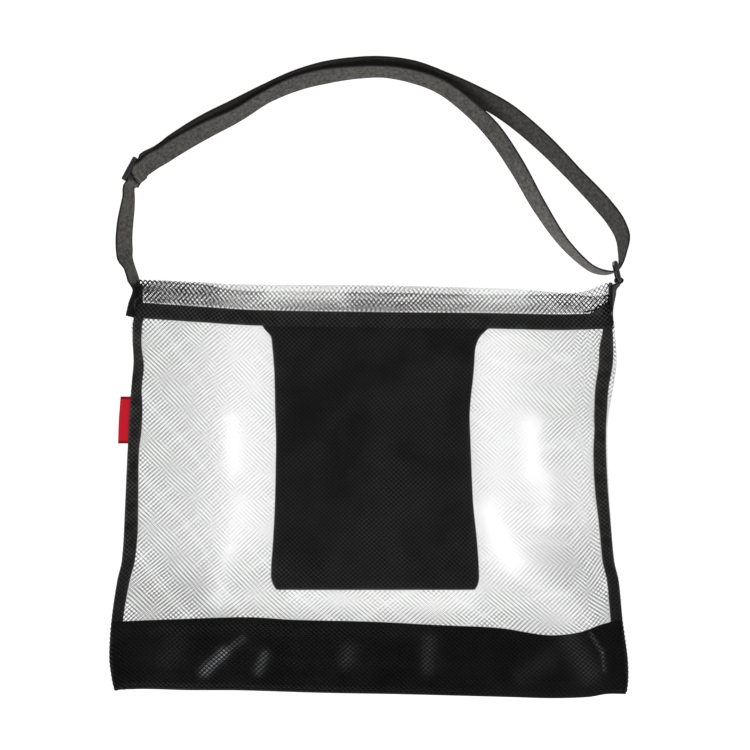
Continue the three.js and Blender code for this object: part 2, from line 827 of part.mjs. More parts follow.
// The adjuster: two side rails and three round bars
function triGlide() {
  const length = 2 * glideBarSpacing + glideBar;
  const round = glideRail / 2;
  const rail = new THREE.Shape();
  rail.moveTo(-length / 2 + round, -round);
  rail.lineTo(length / 2 - round, -round);
  rail.absarc(length / 2 - round, 0, round, -Math.PI / 2, Math.PI / 2, false);
  rail.lineTo(-length / 2 + round, round);
  rail.absarc(-length / 2 + round, 0, round, Math.PI / 2, (3 * Math.PI) / 2, false);
  const shapes = [-1, 1].map((side) => {
    return extruded(rail, glideSide).translate(0, 0, side * (glideHalf - glideSide / 2));
  });
  for (const along of [-glideBarSpacing, 0, glideBarSpacing]) {
    const bar = new THREE.CylinderGeometry(glideBar / 2, glideBar / 2, 2 * glideHalf - glideSide, 12);
    shapes.push(bar.rotateX(Math.PI / 2).translate(along, 0, 0));
  }
  const place = new THREE.Matrix4().makeBasis(
    glideAlong,
    new THREE.Vector3().crossVectors(glideUpward, glideAlong),
    glideUpward,
  );
  return joined(shapes).applyMatrix4(place.setPosition(glideOrigin));
}

// The ring: a round bar bent to a rounded rectangle, standing on edge
const ringHalfHigh = webWidth / 2 + 2 * partClearance + ringBar / 2;
const ringHalfDeep = (ringDepth - ringBar) / 2;
const ringPlace = strapPlace({ across: ringAcross, up: ringUp });
const ringOut = new THREE.Vector3(Math.cos(turnOf(ringHeading)), Math.sin(turnOf(ringHeading)), 0);
const ringOrigin = new THREE.Vector3(ringPlace.x, ringPlace.y, ringHalfHigh + ringBar / 2);

function ringLoop() {
  const corners = [
    [1, 1],
    [-1, 1],
    [-1, -1],
    [1, -1],
  ];
  const cornerSteps = 4;
  const side = new THREE.Vector3().crossVectors(ringOut, upright);
  const sections = [];
  corners.forEach(([deep, high], quarter) => {
    for (let k = 0; k <= cornerSteps; k += 1) {
      const turn = (Math.PI / 2) * (quarter + k / cornerSteps);
      const inward = new THREE.Vector3()
        .addScaledVector(ringOut, Math.cos(turn))
        .addScaledVector(upright, Math.sin(turn));
      const point = ringOrigin
        .clone()
        .addScaledVector(ringOut, deep * (ringHalfDeep - ringCorner))
        .addScaledVector(upright, high * (ringHalfHigh - ringCorner))
        .addScaledVector(inward, ringCorner);
      sections.push({ point, inward });
    }
  });
  const around = 10;
  const positions = [];
  const triangles = [];
  sections.forEach(({ point, inward }, j) => {
    const next = (j + 1) % sections.length;
    for (let i = 0; i < around; i += 1) {
      const turn = (2 * Math.PI * i) / around;
      const p = point.clone().addScaledVector(inward, (ringBar / 2) * Math.cos(turn));
      positions.push(p.addScaledVector(side, (ringBar / 2) * Math.sin(turn)));
      const across = (i + 1) % around;
      triangles.push([j * around + i, next * around + i, next * around + across]);
      triangles.push([j * around + i, next * around + across, j * around + across]);
    }
  });
  return solid(positions, triangles);
}

// Routes round the adjuster's bars: the strap passes over both outer bars and under the
// looped end, which holds the middle bar
const wrap = webThickness / 2 + partClearance;
const barWrap = glideBar / 2 + wrap;
const layerStep = webThickness + partClearance;

function arcAround(centre, radius, fromTurn, toTurn, steps) {
  const list = [];
  for (let k = 0; k <= steps; k += 1) {
    const turn = turnOf(mix(fromTurn, toTurn, k / steps));
    list.push({ point: inGlide(centre + radius * Math.cos(turn), radius * Math.sin(turn)), up: glideUpward });
  }
  return list;
}

function heldAt(along, facing) {
  return { point: inGlide(along, facing), up: glideUpward };
}

function freeStation(row) {
  const place = strapPlace(row);
  const tilt = turnOf(Math.abs(row.tilt));
  const reach = (webWidth / 2) * Math.cos(tilt) + (webThickness / 2) * Math.sin(tilt);
  const height = partClearance + row.lift * webWidth + reach;
  return { point: new THREE.Vector3(place.x, place.y, height), tilt: row.tilt };
}

function strapStations() {
  const under = barWrap + layerStep;
  const over = barWrap + 2 * layerStep;
  return [
    ...strapLeft.map(freeStation),
    heldAt(-glideBarSpacing - 7, 0.6),
    ...arcAround(-glideBarSpacing, barWrap, 120, 0, 4),
    ...arcAround(0, under, -140, -40, 4),
    ...arcAround(glideBarSpacing, barWrap, 180, 60, 4),
    heldAt(glideBarSpacing + 5, 1.4),
    ...strapArch.map(freeStation),
    heldAt(glideBarSpacing + 4, over),
    heldAt(glideBarSpacing - 1, over - 0.2),
    ...arcAround(0, barWrap, 65, 300, 7),
    heldAt(0.45 * glideBarSpacing - 0.4, -1.2),
    heldAt(0.55 * glideBarSpacing - 0.2, 0.6),
    heldAt(0.7 * glideBarSpacing, under - 1.3),
    heldAt(glideBarSpacing - 0.4, under),
    ...strapTail.map(freeStation),
  ];
}

// The tab: from the seam up to the ring, round its near bar and back to the seam
function tabStations() {
  const bar = ringOrigin.clone().addScaledVector(ringOut, -ringHalfDeep);
  const inner = netWall + 2 * layerGap + webThickness / 2 + (webWidth / 6) * Math.tan(turnOf(tabTilt));
  const low = bagHeight - tabReach;
  const seamZ = (y) => webWidth / 2 + 0.25 * tabLift + 0.5 * cornerLift(rightEdge(y), y);
  const station = (x, y, z, tilt) => ({ point: new THREE.Vector3(x, y, z), tilt });
  const list = [];
  for (const share of [0, 0.33, 0.66, 0.85]) {
    const y = low + share * tabReach;
    list.push(station(rightEdge(y) + inner, y, seamZ(y), -tabTilt));
  }
  const turnRadius = ringBar / 2 + wrap;
  for (const turn of [165, 130, 90, 45, 0, -35]) {
    const x = bar.x + (turnRadius + (turn === 0 ? tabBulge / 4 : 0)) * Math.cos(turnOf(turn));
    list.push(station(x, bar.y + turnRadius * Math.sin(turnOf(turn)), bar.z, 0));
  }
  for (const share of [0.66, 0.33, 0]) {
    const y = low + share * tabReach;
    list.push(station(rightEdge(y) + inner + layerStep, y, seamZ(y), tabTilt));
  }
  return list;
}

// A flat ribbon swept along its stations
function ribbon(list, width, thickness, longest) {
  const curve = new THREE.CatmullRomCurve3(list.map((s) => s.point), false, "centripetal");
  const spans = list.length - 1;
  const upOf = (i) => {
    if (list[i].up) {
      return list[i].up;
    }
    const on = list[Math.min(spans, i + 1)].point;
    const back = list[Math.max(0, i - 1)].point;
    const left = new THREE.Vector3(back.y - on.y, on.x - back.x, 0).normalize();
    const tilt = turnOf(list[i].tilt);
    return left.multiplyScalar(Math.sin(tilt)).addScaledVector(upright, Math.cos(tilt));
  };
  const places = [];
  for (let i = 0; i < spans; i += 1) {
    const length = list[i].point.distanceTo(list[i + 1].point);
    const steps = Math.max(1, Math.round(length / longest));
    for (let k = 0; k < steps; k += 1) {
      places.push(i + k / steps);
    }
  }
  places.push(spans);
  const lower = [];
  const upper = [];
  for (const place of places) {
    const i = Math.min(spans - 1, Math.floor(place));
    const point = curve.getPoint(place / spans);
    const tangent = curve.getTangent(place / spans);
    const up = upOf(i).clone().lerp(upOf(i + 1), place - i);
    up.addScaledVector(tangent, -up.dot(tangent)).normalize();
    const normal = new THREE.Vector3().crossVectors(tangent, up).normalize();
    const edge = (a, b) =>
      point.clone().addScaledVector(up, (a * width) / 2).addScaledVector(normal, (b * thickness) / 2);
    lower.push([edge(-1, -1), edge(1, -1)]);
    upper.push([edge(-1, 1), edge(1, 1)]);
  }
  return wallBetween(lower, upper);
}

// The label stands out of the left seam
function sideLabel() {
  const low = [];
  const high = [];
  const count = 4;
  const middle = labelUp * bagHeight;
  for (let j = 0; j <= count; j += 1) {
    const y = middle + labelLength * (j / count - 0.5);
    const x = leftEdge(y) - netWall - layerGap;
    const lowRow = [];
    const highRow = [];
    for (const share of [1, 0]) {
      const z = backLow(leftEdge(y), y) + netWall / 2;
      lowRow.push(new THREE.Vector3(x - share * labelWidth, y, z));
      highRow.push(new THREE.Vector3(x - share * labelWidth, y, z + labelThickness));
    }
    low.push(lowRow);
    high.push(highRow);
  }
  return wallBetween(low, high);
}

const cloth = { color: clothBlack, roughness: 0.8 };
const gloss = { color: clothBlack, roughness: 0.35 };
const net = { color: netBlack, roughness: 0.4 };
const web = { color: webGrey, roughness: 0.8 };
const plastic = { color: clothBlack, roughness: 0.3 };

const pieces = [
  { name: "net_front", make: () => netPanel("front", 16), ...net },
  { name: "net_back", make: () => netPanel("back", 9), ...net },
  { name: "band_front", make: () => bandPanel("front"), ...gloss },
  { name: "band_back", make: () => bandPanel("back"), ...gloss },
  { name: "binding_left", make: () => bindingSide("left"), ...cloth },
  { name: "binding_right", make: () => bindingSide("right"), ...cloth },
  { name: "binding_bottom", make: bindingBottom, ...cloth },
  { name: "zip_tape_front", make: () => zipTape("front"), ...cloth },
  { name: "zip_tape_back", make: () => zipTape("back"), ...cloth },
  { name: "zip_coil", make: zipCoil, ...plastic },
  { name: "zip_slider", make: zipSlider, at: sliderAt, ...plastic },
  { name: "zip_pull", make: zipPull, at: sliderAt, ...plastic },
  { name: "pocket_front", make: () => pocketWall("front"), ...cloth },
  { name: "pocket_back", make: () => pocketWall("back"), ...cloth },
  { name: "side_label", make: sideLabel, color: labelRed, roughness: 0.7 },
  { name: "shoulder_strap", make: () => ribbon(strapStations(), webWidth, webThickness, 8), ...web },
  { name: "tri_glide", make: triGlide, ...plastic },
  { name: "ring", make: ringLoop, ...plastic },
  { name: "ring_tab", make: () => ribbon(tabStations(), webWidth, webThickness, 5), ...cloth },
];

const bag = new THREE.Group();
for (const { name, make, at, color, roughness } of pieces) {
  const material = new THREE.MeshStandardMaterial({ color, roughness, metalness: 0 });
  const mesh = new THREE.Mesh(make(), material);
  mesh.name = name;
  if (at) {
    mesh.position.copy(at);
  }
  bag.add(mesh);
}

// The origin is the middle of the plan, on the surface that the bag lies on
bag.updateMatrixWorld(true);
const whole = new THREE.Box3().setFromObject(bag);
const middle = whole.getCenter(new THREE.Vector3());
bag.position.set(-middle.x, -middle.y, -whole.min.z);

export default bag;
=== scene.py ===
import math

import bmesh
import bpy
import numpy as np
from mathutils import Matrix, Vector


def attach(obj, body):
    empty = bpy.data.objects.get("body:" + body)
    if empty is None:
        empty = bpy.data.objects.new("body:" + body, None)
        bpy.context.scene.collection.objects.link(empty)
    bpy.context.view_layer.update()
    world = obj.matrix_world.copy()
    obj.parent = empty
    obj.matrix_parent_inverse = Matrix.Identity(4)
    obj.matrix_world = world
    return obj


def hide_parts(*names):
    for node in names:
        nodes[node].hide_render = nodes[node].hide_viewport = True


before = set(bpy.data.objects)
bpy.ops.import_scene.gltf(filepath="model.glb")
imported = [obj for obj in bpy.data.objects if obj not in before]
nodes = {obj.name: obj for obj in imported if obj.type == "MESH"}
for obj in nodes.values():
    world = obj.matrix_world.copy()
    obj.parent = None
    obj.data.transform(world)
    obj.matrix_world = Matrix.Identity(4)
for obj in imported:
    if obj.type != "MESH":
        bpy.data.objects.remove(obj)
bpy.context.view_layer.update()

# Lengths are in millimetres in the bag's own plan, from the middle of its bottom seam.
# shift brings them to the frame's origin.
shift = np.array([2.154, -313.009, 0.0])

bag = {
    "bottomWidth": 518.0, "topWidth": 478.0, "height": 411.0, "bottomSag": 6.0,
    "hemDip": 16.0, "puffHeight": 16.0, "seamRise": 2.2, "seamRound": 6.0,
    "ridgeHeight": 3.0, "tabLift": 6.0, "tabLiftReach": 62.0, "netWall": 1.0,
    "clothWall": 1.0, "layerGap": 0.45, "hemGap": 0.6, "bindingWidth": 11.5,
    "bindingThickness": 2.2, "bandHeight": 64.0, "zipDepth": 24.0, "zipDip": 12.0,
    "zipTapeHeight": 15.5, "zipTapeWall": 0.9, "coilWidth": 6.0, "coilThickness": 2.4,
    "sliderWall": 1.2,
}
height = bag["height"]
gap = bag["layerGap"]
wall = bag["netWall"]
zipLow = height - bag["zipDepth"] - bag["zipDip"]

outline = {
    "up": [0.0, 0.03, 0.08, 0.17, 0.267, 0.316, 0.437, 0.583, 0.655, 0.752, 0.801, 0.883, 0.925, 1],
    "left": [
        0.99, 1.003, 1.016, 1.015, 1.0, 0.986, 0.983, 0.983, 0.985, 0.98, 0.977, 0.99, 0.978, 0.975,
    ],
    "right": [
        0.988, 0.995, 0.996, 0.984, 0.976, 0.962, 0.955, 0.955, 0.963, 0.997, 1.01, 1.006, 0.998,
        0.998,
    ],
}
acrossEdges = {
    "across": [-1.0, -0.92, -0.7, -0.6, -0.5, -0.2, 0.1, 0.35, 0.55, 0.7, 0.84, 0.91, 1.0],
    "bottom": [-0.17, 0.5, 0.33, 0.33, 0.3, -0.1, -0.33, -0.6, -0.83, -1.0, -0.8, -0.3, -0.33],
    "front": [0.0, 0.06, 0.28, 0.58, 0.7, 0.74, 0.82, 0.88, 0.92, 0.93, 0.88, 1.02, 0.92],
    "back": [0.0, 0.0, 0.15, 0.25, 0.28, 0.31, 0.35, 0.45, 0.52, 0.68, 0.82, 0.62, 0.1],
}
zipLine = {
    "across": [-1.0, -0.7, -0.5, 0.0, 0.5, 0.8, 1.0],
    "drop": [-0.05, 0.33, 0.58, 0.76, 0.85, 0.96, 0.86],
}
bandTop = {
    "across": [-1.0, -0.75, -0.47, -0.3, 0.0, 0.25, 0.5, 0.68, 0.8, 0.9, 1.0],
    "height": [1.07, 1.11, 1.14, 1.1, 1.07, 1.02, 0.97, 0.86, 0.9, 1.04, 1.12],
}
pocketOutline = {
    "up": [0.0, 0.02, 0.05, 0.175, 0.325, 0.55, 0.66, 0.81, 0.9, 0.94, 0.97, 1.0],
    "left": [0.97, 1.0, 1.02, 1.0, 0.98, 0.97, 0.98, 0.99, 1.01, 1.03, 1.1, 1.12],
    "right": [1.0, 1.03, 1.04, 1.02, 0.98, 0.955, 0.95, 0.99, 1.01, 1.06, 1.14, 1.16],
}
ridges = [
    (-0.55, 0.68, -0.53, 0.53, 1.0, 0.1),
    (-0.5, 0.46, -0.58, 0.32, 0.8, 0.1),
    (0.61, 0.65, 0.64, 0.42, 1.0, 0.1),
    (0.55, 0.37, 0.7, 0.26, 0.8, 0.1),
]


def mix(a, b, t):
    return a + (b - a) * t


def smooth(t):
    s = np.clip(t, 0.0, 1.0)
    return s * s * (3 - 2 * s)


def roundRise(t):
    s = 1 - np.clip(t, 0.0, 1.0)
    return np.sqrt(1 - s * s)


# A smooth curve through the rows of a table, read at many places at once
def reader(table, along, name):
    xs = np.array(table[along])
    ys = np.array(table[name])
    dense = np.linspace(xs[0], xs[-1], 600)
    i = np.clip(np.searchsorted(xs, dense, side="right") - 1, 0, len(xs) - 2)
    before = np.maximum(i - 1, 0)
    after = np.minimum(i + 2, len(xs) - 1)
    span = xs[i + 1] - xs[i]
    t = (dense - xs[i]) / span
    slopeA = (ys[i + 1] - ys[before]) / (xs[i + 1] - xs[before]) * span
    slopeB = (ys[after] - ys[i]) / (xs[after] - xs[i]) * span
    made = (2 * t**3 - 3 * t**2 + 1) * ys[i] + (t**3 - 2 * t**2 + t) * slopeA
    made += (3 * t**2 - 2 * t**3) * ys[i + 1] + (t**3 - t**2) * slopeB
    return lambda place: np.interp(place, dense, made)


leftShare = reader(outline, "up", "left")
rightShare = reader(outline, "up", "right")
bottomShare = reader(acrossEdges, "across", "bottom")
hemShare = {side: reader(acrossEdges, "across", side) for side in ("front", "back")}
zipShare = reader(zipLine, "across", "drop")
bandShare = reader(bandTop, "across", "height")
pocketShare = {side: reader(pocketOutline, "up", side) for side in ("left", "right")}


def halfWidth(y):
    return mix(bag["bottomWidth"], bag["topWidth"], np.clip(y / height, 0, 1)) / 2


def leftEdge(y):
    return -halfWidth(y) * leftShare(y / height)


def rightEdge(y):
    return halfWidth(y) * rightShare(y / height)


def bottomEdge(x):
    return bag["bottomSag"] * bottomShare(x / (bag["bottomWidth"] / 2))


def hemEdge(x, side):
    return height - bag["hemDip"] * hemShare[side](x / (bag["topWidth"] / 2))


def zipTop(x):
    return height - bag["zipDepth"] - bag["zipDip"] * zipShare(x / (bag["topWidth"] / 2))


def bandEdge(x):
    return bag["bandHeight"] * bandShare(x / (bag["bottomWidth"] / 2))


def edgeDistance(x, y):
    side = np.minimum(x - leftEdge(y), rightEdge(y) - x)
    return np.maximum(0, np.minimum(side, y - bottomEdge(x)))


def cornerLift(x, y):
    anchorY = height - bag["zipDepth"] / 2
    left = np.hypot(x - leftEdge(y), y - anchorY)
    right = np.hypot(x - rightEdge(y), y - anchorY)
    return bag["tabLift"] * (1 - smooth(np.minimum(left, right) / bag["tabLiftReach"]))


def backHigh(x, y):
    low = bag["seamRise"] * (1 - roundRise(edgeDistance(x, y) / bag["seamRound"]))
    return cornerLift(x, y) + low + wall


def liningRoom(y):
    overBand = 1 - smooth((y - 1.25 * bag["bandHeight"]) / bag["bandHeight"])
    atZip = smooth((y - (zipLow - 3 * bag["zipTapeHeight"])) / bag["zipTapeHeight"])
    return (bag["clothWall"] + gap) * np.maximum(overBand, atZip)


def seamStack(y):
    bound = gap + bag["bindingThickness"] + gap + 2 * liningRoom(y)
    zipped = 2 * (gap + bag["zipTapeWall"] + gap) + bag["coilWidth"]
    return mix(bound, zipped, smooth((y - (zipLow - 4 * bag["zipDepth"])) / (3 * bag["zipDepth"])))


def seamGap(y):
    zipped = smooth((y - (zipLow - bag["zipDepth"])) / bag["zipDepth"])
    return gap + 2 * (bag["hemGap"] + wall) * zipped


# How strongly something acts at a place: from, to, reach and strength
def actsAt(x, y, row):
    ax, ay, bx, by, reach, strength = row
    dx, dy = bx - ax, by - ay
    t = np.clip(((x - ax) * dx + (y - ay) * dy) / (dx * dx + dy * dy), 0, 1)
    away = np.hypot(x - ax - t * dx, y - ay - t * dy) / reach
    return strength * np.exp(-away * away)


def ridgeAt(x, y):
    half = bag["bottomWidth"] / 2
    total = 0
    for ax, ay, bx, by, tall, reach in ridges:
        ends = (ax * half, ay * height, bx * half, by * height)
        total = total + actsAt(x, y, (*ends, reach * half, bag["ridgeHeight"] * tall))
    return total


def roof(x, y):
    d = edgeDistance(x, y)
    across = np.minimum(1, np.abs(x) / (halfWidth(y) - bag["bindingWidth"]))
    rise = smooth(y / (0.34 * height))
    fall = 1 - smooth((y - 0.5 * height) / (0.5 * height - bag["zipDepth"] - bag["zipDip"]))
    swell = bag["puffHeight"] * rise * fall * (1 - across**2.4)
    inner = smooth((d - bag["bindingWidth"]) / (2 * bag["bindingWidth"]))
    stack = mix(seamGap(y), seamStack(y), roundRise(d / bag["seamRound"]))
    return backHigh(x, y) + stack + inner * (swell + ridgeAt(x, y))


# Even wrinkles from a few fixed waves, from -1 to 1
def ripples(x, y, size, turn=0.0):
    total = 0
    for k in range(5):
        angle = turn + 2.4 * k
        wave = (x * math.cos(angle) + y * math.sin(angle)) / (size * (0.7 + 0.21 * k))
        total = total + np.sin(2 * math.pi * wave + 1.7 * k + turn)
    return total / 5


# Mesh helpers
def toMetres(points):
    return (points + shift) / 1000


def linked(name, made):
    piece = bpy.data.objects.new(name, made)
    bpy.context.scene.collection.objects.link(piece)
    return piece


def keep(piece, finish, slotName, *replaced):
    piece.data.materials.append(finish)
    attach(piece, "root")
    if replaced:
        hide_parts(*replaced)


def shadeSmooth(mesh, angle):
    mesh.polygons.foreach_set("use_smooth", [True] * len(mesh.polygons))
    mesh.set_sharp_from_angle(angle=math.radians(angle))


def fromBmesh(name, bm, angle):
    mesh = bpy.data.meshes.new(name)
    bm.to_mesh(mesh)
    bm.free()
    shadeSmooth(mesh, angle)
    return linked(name, mesh)


# A grid with its UV map, each point where place(u, v) puts it, for shares of the grid's size
def placedGrid(columns, rows, place):
    bm = bmesh.new()
    layer = bm.loops.layers.uv.new("UVMap")
    bmesh.ops.create_grid(bm, x_segments=columns, y_segments=rows, size=0.5, calc_uvs=True)
    for face in bm.faces:
        for loop in face.loops:
            loop[layer].uv = (loop.vert.co.x + 0.5, loop.vert.co.y + 0.5)
    verts = list(bm.verts)
    flat = np.array([v.co[:2] for v in verts]) + 0.5
    for v, p in zip(verts, toMetres(place(flat[:, 0], flat[:, 1]))):
        v.co = p
    return bm


# A cloth: the grid is its upper face
def clothSheet(name, columns, rows, place, thickness):
    bm = placedGrid(columns, rows, place)
    bmesh.ops.recalc_face_normals(bm, faces=bm.faces)
    if sum(f.normal.z for f in bm.faces) < 0:
        bmesh.ops.reverse_faces(bm, faces=bm.faces)
    piece = fromBmesh(name, bm, 60)
    solid = piece.modifiers.new("wall", "SOLIDIFY")
    solid.thickness = thickness / 1000
    solid.offset = -1
    solid.use_even_offset = False
    return piece


# A tape or tag: the grid closes round it, and its ends are filled
def closedStrip(name, around, along, place):
    bm = placedGrid(around, along, place)
    bmesh.ops.remove_doubles(bm, verts=bm.verts, dist=1e-6)
    bmesh.ops.holes_fill(bm, edges=[e for e in bm.edges if e.is_boundary], sides=0)
    bmesh.ops.recalc_face_normals(bm, faces=bm.faces)
    return fromBmesh(name, bm, 50)


# A place round the tape's section: how far across it, and how far up or down
def aroundTape(u, square):
    turn = 2 * math.pi * u
    rise = np.sin(turn)
    return 0.5 - 0.5 * np.cos(turn), np.sign(rise) * np.abs(rise) ** square


# Many tubes joined in one mesh, from their middle lines and the thickness at each point
def tubes(name, lines, sides=3):
    verts = []
    faces = []
    base = 0
    turns = 2 * math.pi * (np.arange(sides) / sides) + math.pi / 2
    for points, radius in lines:
        count = len(points)
        along = np.gradient(points, axis=0)
        along /= np.linalg.norm(along, axis=1)[:, None]
        side = np.cross(along, [0.0, 0.0, 1.0])
        side /= np.maximum(np.linalg.norm(side, axis=1), 1e-9)[:, None]
        up = np.cross(side, along)
        ring = points[:, None, :] + radius[:, None, None] * (
            np.cos(turns)[None, :, None] * side[:, None, :]
            + np.sin(turns)[None, :, None] * up[:, None, :]
        )
        verts.append(ring.reshape(-1, 3))
        j, i = np.meshgrid(np.arange(count - 1), np.arange(sides), indexing="ij")
        a = base + j * sides + i
        b = base + j * sides + (i + 1) % sides
        faces.append(np.stack([a, b, b + sides, a + sides], axis=-1).reshape(-1, 4))
        base += count * sides
    return rawMesh(name, np.concatenate(verts), np.concatenate(faces))


def rawMesh(name, verts, faces):
    placed = toMetres(verts)
    mesh = bpy.data.meshes.new(name)
    mesh.from_pydata(placed.tolist(), [], faces.tolist())
    lowest = placed.min(axis=0)
    span = np.maximum(placed.max(axis=0) - lowest, 1e-6)
    layer = mesh.uv_layers.new(name="UVMap")
    order = np.empty(len(mesh.loops), dtype=np.int64)
    mesh.loops.foreach_get("vertex_index", order)
    flat = ((placed - lowest) / span)[order][:, :2]
    layer.data.foreach_set("uv", flat.ravel())
    mesh.polygons.foreach_set("use_smooth", [True] * len(mesh.polygons))
    return linked(name, mesh)


# Small elongated eight-sided grains, for knots and stitches
def grains(centres, alongs, ups, sizes):
    alongs = alongs / np.linalg.norm(alongs, axis=1)[:, None]
    side = np.cross(alongs, ups)
    side /= np.linalg.norm(side, axis=1)[:, None]
    top = np.cross(side, alongs)
    long, wide, tall = (np.broadcast_to(size, len(centres))[:, None] for size in sizes)
    corners = [centres + long * alongs, centres - long * alongs, centres + wide * side]
    corners += [centres - wide * side, centres + tall * top, centres - tall * top]
    verts = np.stack(corners, axis=1).reshape(-1, 3)
    pattern = np.array([
        [0, 2, 4], [2, 1, 4], [1, 3, 4], [3, 0, 4], [2, 0, 5], [1, 2, 5], [3, 1, 5], [0, 3, 5],
    ])
    faces = (np.arange(len(centres)) * 6)[:, None, None] + pattern[None]
    return verts, faces.reshape(-1, 3)


# Shader helper: one socket with the usual operators, and one call for any other node
class Signal:
    def __init__(self, tree, socket=None):
        self.tree = tree
        self.socket = socket

    def node(self, kind, settings, inputs, output=0):
        made = self.tree.nodes.new(kind)
        for key, value in settings.items():
            setattr(made, key, value)
        for key, value in inputs.items():
            if isinstance(value, Signal):
                self.tree.links.new(value.socket, made.inputs[key])
            else:
                made.inputs[key].default_value = value
        return Signal(self.tree, made.outputs[output])

    def maths(self, operation, first, second=0.0):
        return self.node("ShaderNodeMath", {"operation": operation}, {0: first, 1: second})

    def __add__(self, other):
        return self.maths("ADD", self, other)

    def __sub__(self, other):
        return self.maths("SUBTRACT", self, other)

    def __rsub__(self, other):
        return self.maths("SUBTRACT", other, self)

    def __mul__(self, other):
        return self.maths("MULTIPLY", self, other)

    __radd__ = __add__
    __rmul__ = __mul__

    def sine(self):
        return self.maths("SINE", self)

    def size(self):
        return self.maths("ABSOLUTE", self)

    def noise(self, scale, detail=2.0):
        keys = {"Vector": self, "Scale": scale, "Detail": detail}
        return self.node("ShaderNodeTexNoise", {}, keys)

    def axis(self, name):
        return self.node("ShaderNodeSeparateXYZ", {}, {0: self}, name)

    def between(self, low, high):
        keys = {"Value": self, "From Min": low, "From Max": high}
        return self.node("ShaderNodeMapRange", {"clamp": True}, keys, "Result")

    def attribute(self, name):
        return self.node("ShaderNodeAttribute", {"attribute_name": name}, {}, "Fac")


# One material: its colour runs between two, its height feeds a bump
def material(name, colors, shade, rough, bump=None, strength=0.4, depth=0.0003, **fixed):
    made = bpy.data.materials.new(name)
    made.use_nodes = True
    tree = made.node_tree
    shader = tree.nodes["Principled BSDF"]
    start = Signal(tree)
    place = start.node("ShaderNodeTexCoord", {}, {}, "Object")
    tone = shade(place)
    blend = {0: tone, 6: (*colors[0], 1.0), 7: (*colors[1], 1.0)}  # 6 and 7 take colours
    color = start.node("ShaderNodeMix", {"data_type": "RGBA"}, blend, 2)
    tree.links.new(color.socket, shader.inputs["Base Color"])
    spread = tone * (rough[1] - rough[0]) + rough[0]
    tree.links.new(spread.socket, shader.inputs["Roughness"])
    if bump:
        keys = {"Height": bump(place), "Strength": strength, "Distance": depth}
        normal = start.node("ShaderNodeBump", {}, keys)
        tree.links.new(normal.socket, shader.inputs["Normal"])
    for key, value in fixed.items():
        shader.inputs[key.replace("_", " ")].default_value = value
    return made


def wear(scale, low=0.35, high=0.65):
    return lambda place: place.noise(scale).between(low, high)


# Plain weave: threads of one direction over the other, by turns
def weave(pitch):
    turn = 2 * math.pi / (pitch / 1000)

    def made(place):
        across = (place.axis("X") * turn).sine()
        up = (place.axis("Y") * turn).sine()
        return across * up * 0.5 + 0.5

    return made


def tapeRibs(pitch):
    turn = 2 * math.pi / (pitch / 1000)

    def made(place):
        slant = (place.axis("X") + place.axis("Y")) * turn
        other = (place.axis("X") - place.axis("Y")) * turn
        return slant.sine() * 0.3 + other.sine() * 0.3 + 0.5

    return made


print("frame and helpers ready")

# Camera and light: straight down, as the photo looks at the bag. In the photo's pixels, its
# middle and the place of the bag's bottom middle
view = {
    "distance": 3.0, "across": 0.75, "pixelX": 375.0, "pixelY": 375.0,
    "seamX": 371.0, "seamY": 690.0, "sensor": 36.0,
}
camera = linked("camera", bpy.data.cameras.new("camera"))
camera.location = (
    (view["pixelX"] - view["seamX"] + shift[0]) / 1000,
    (view["seamY"] - view["pixelY"] + shift[1]) / 1000,
    view["distance"],
)
camera.data.sensor_width = view["sensor"]
camera.data.lens = view["sensor"] * view["distance"] / view["across"]
camera.data.clip_end = 50
bpy.context.scene.camera = camera

studio = {"world": 0.42, "key": 16.0, "fill": 5.0, "floorGlow": 0.92, "floorSize": 30.0}
bpy.context.scene.view_settings.view_transform = "Standard"
world = bpy.data.worlds.new("studio")
world.use_nodes = True
world.node_tree.nodes["Background"].inputs["Color"].default_value = (1, 1, 1, 1)
world.node_tree.nodes["Background"].inputs["Strength"].default_value = studio["world"]
bpy.context.scene.world = world
for name, place, size, power in [
    ("key", (-0.5, -1.25, 1.15), 0.9, studio["key"]),
    ("fill", (1.2, 0.9, 1.6), 1.6, studio["fill"]),
]:
    lamp = bpy.data.lights.new(name, "AREA")
    lamp.size = size
    lamp.energy = power
    holder = linked(name, lamp)
    holder.location = place
    holder.rotation_euler = (-Vector(place)).to_track_quat("-Z", "Y").to_euler()

bm = bmesh.new()
bmesh.ops.create_grid(bm, x_segments=1, y_segments=1, size=studio["floorSize"])
floorMesh = bpy.data.meshes.new("floor")
bm.to_mesh(floorMesh)
bm.free()
floor = linked("floor", floorMesh)
floor.location.z = -0.0002
floorMesh.materials.append(
    material(
        "floor", [(0.28, 0.28, 0.28), (0.3, 0.3, 0.3)], wear(3.0), (0.9, 0.95),
        Emission_Color=(1, 1, 1, 1), Emission_Strength=studio["floorGlow"],
    )
)

pocket = {
    "width": 200.0, "depth": 268.0, "offset": 3.0, "hollow": 7.0, "round": 9.0,
    "share": 0.58, "mouth": 20.0, "wrinkle": 0.7, "calmSides": 14.0, "calmTop": 30.0,
}
pocketTop = zipLow - bag["zipTapeHeight"] / 3
pocketBottom = pocketTop - pocket["depth"]


def pocketSides(y):
    up = (y - pocketBottom) / pocket["depth"]
    left = pocket["offset"] - pocket["width"] / 2 * pocketShare["left"](up)
    return left, pocket["offset"] + pocket["width"] / 2 * pocketShare["right"](up)


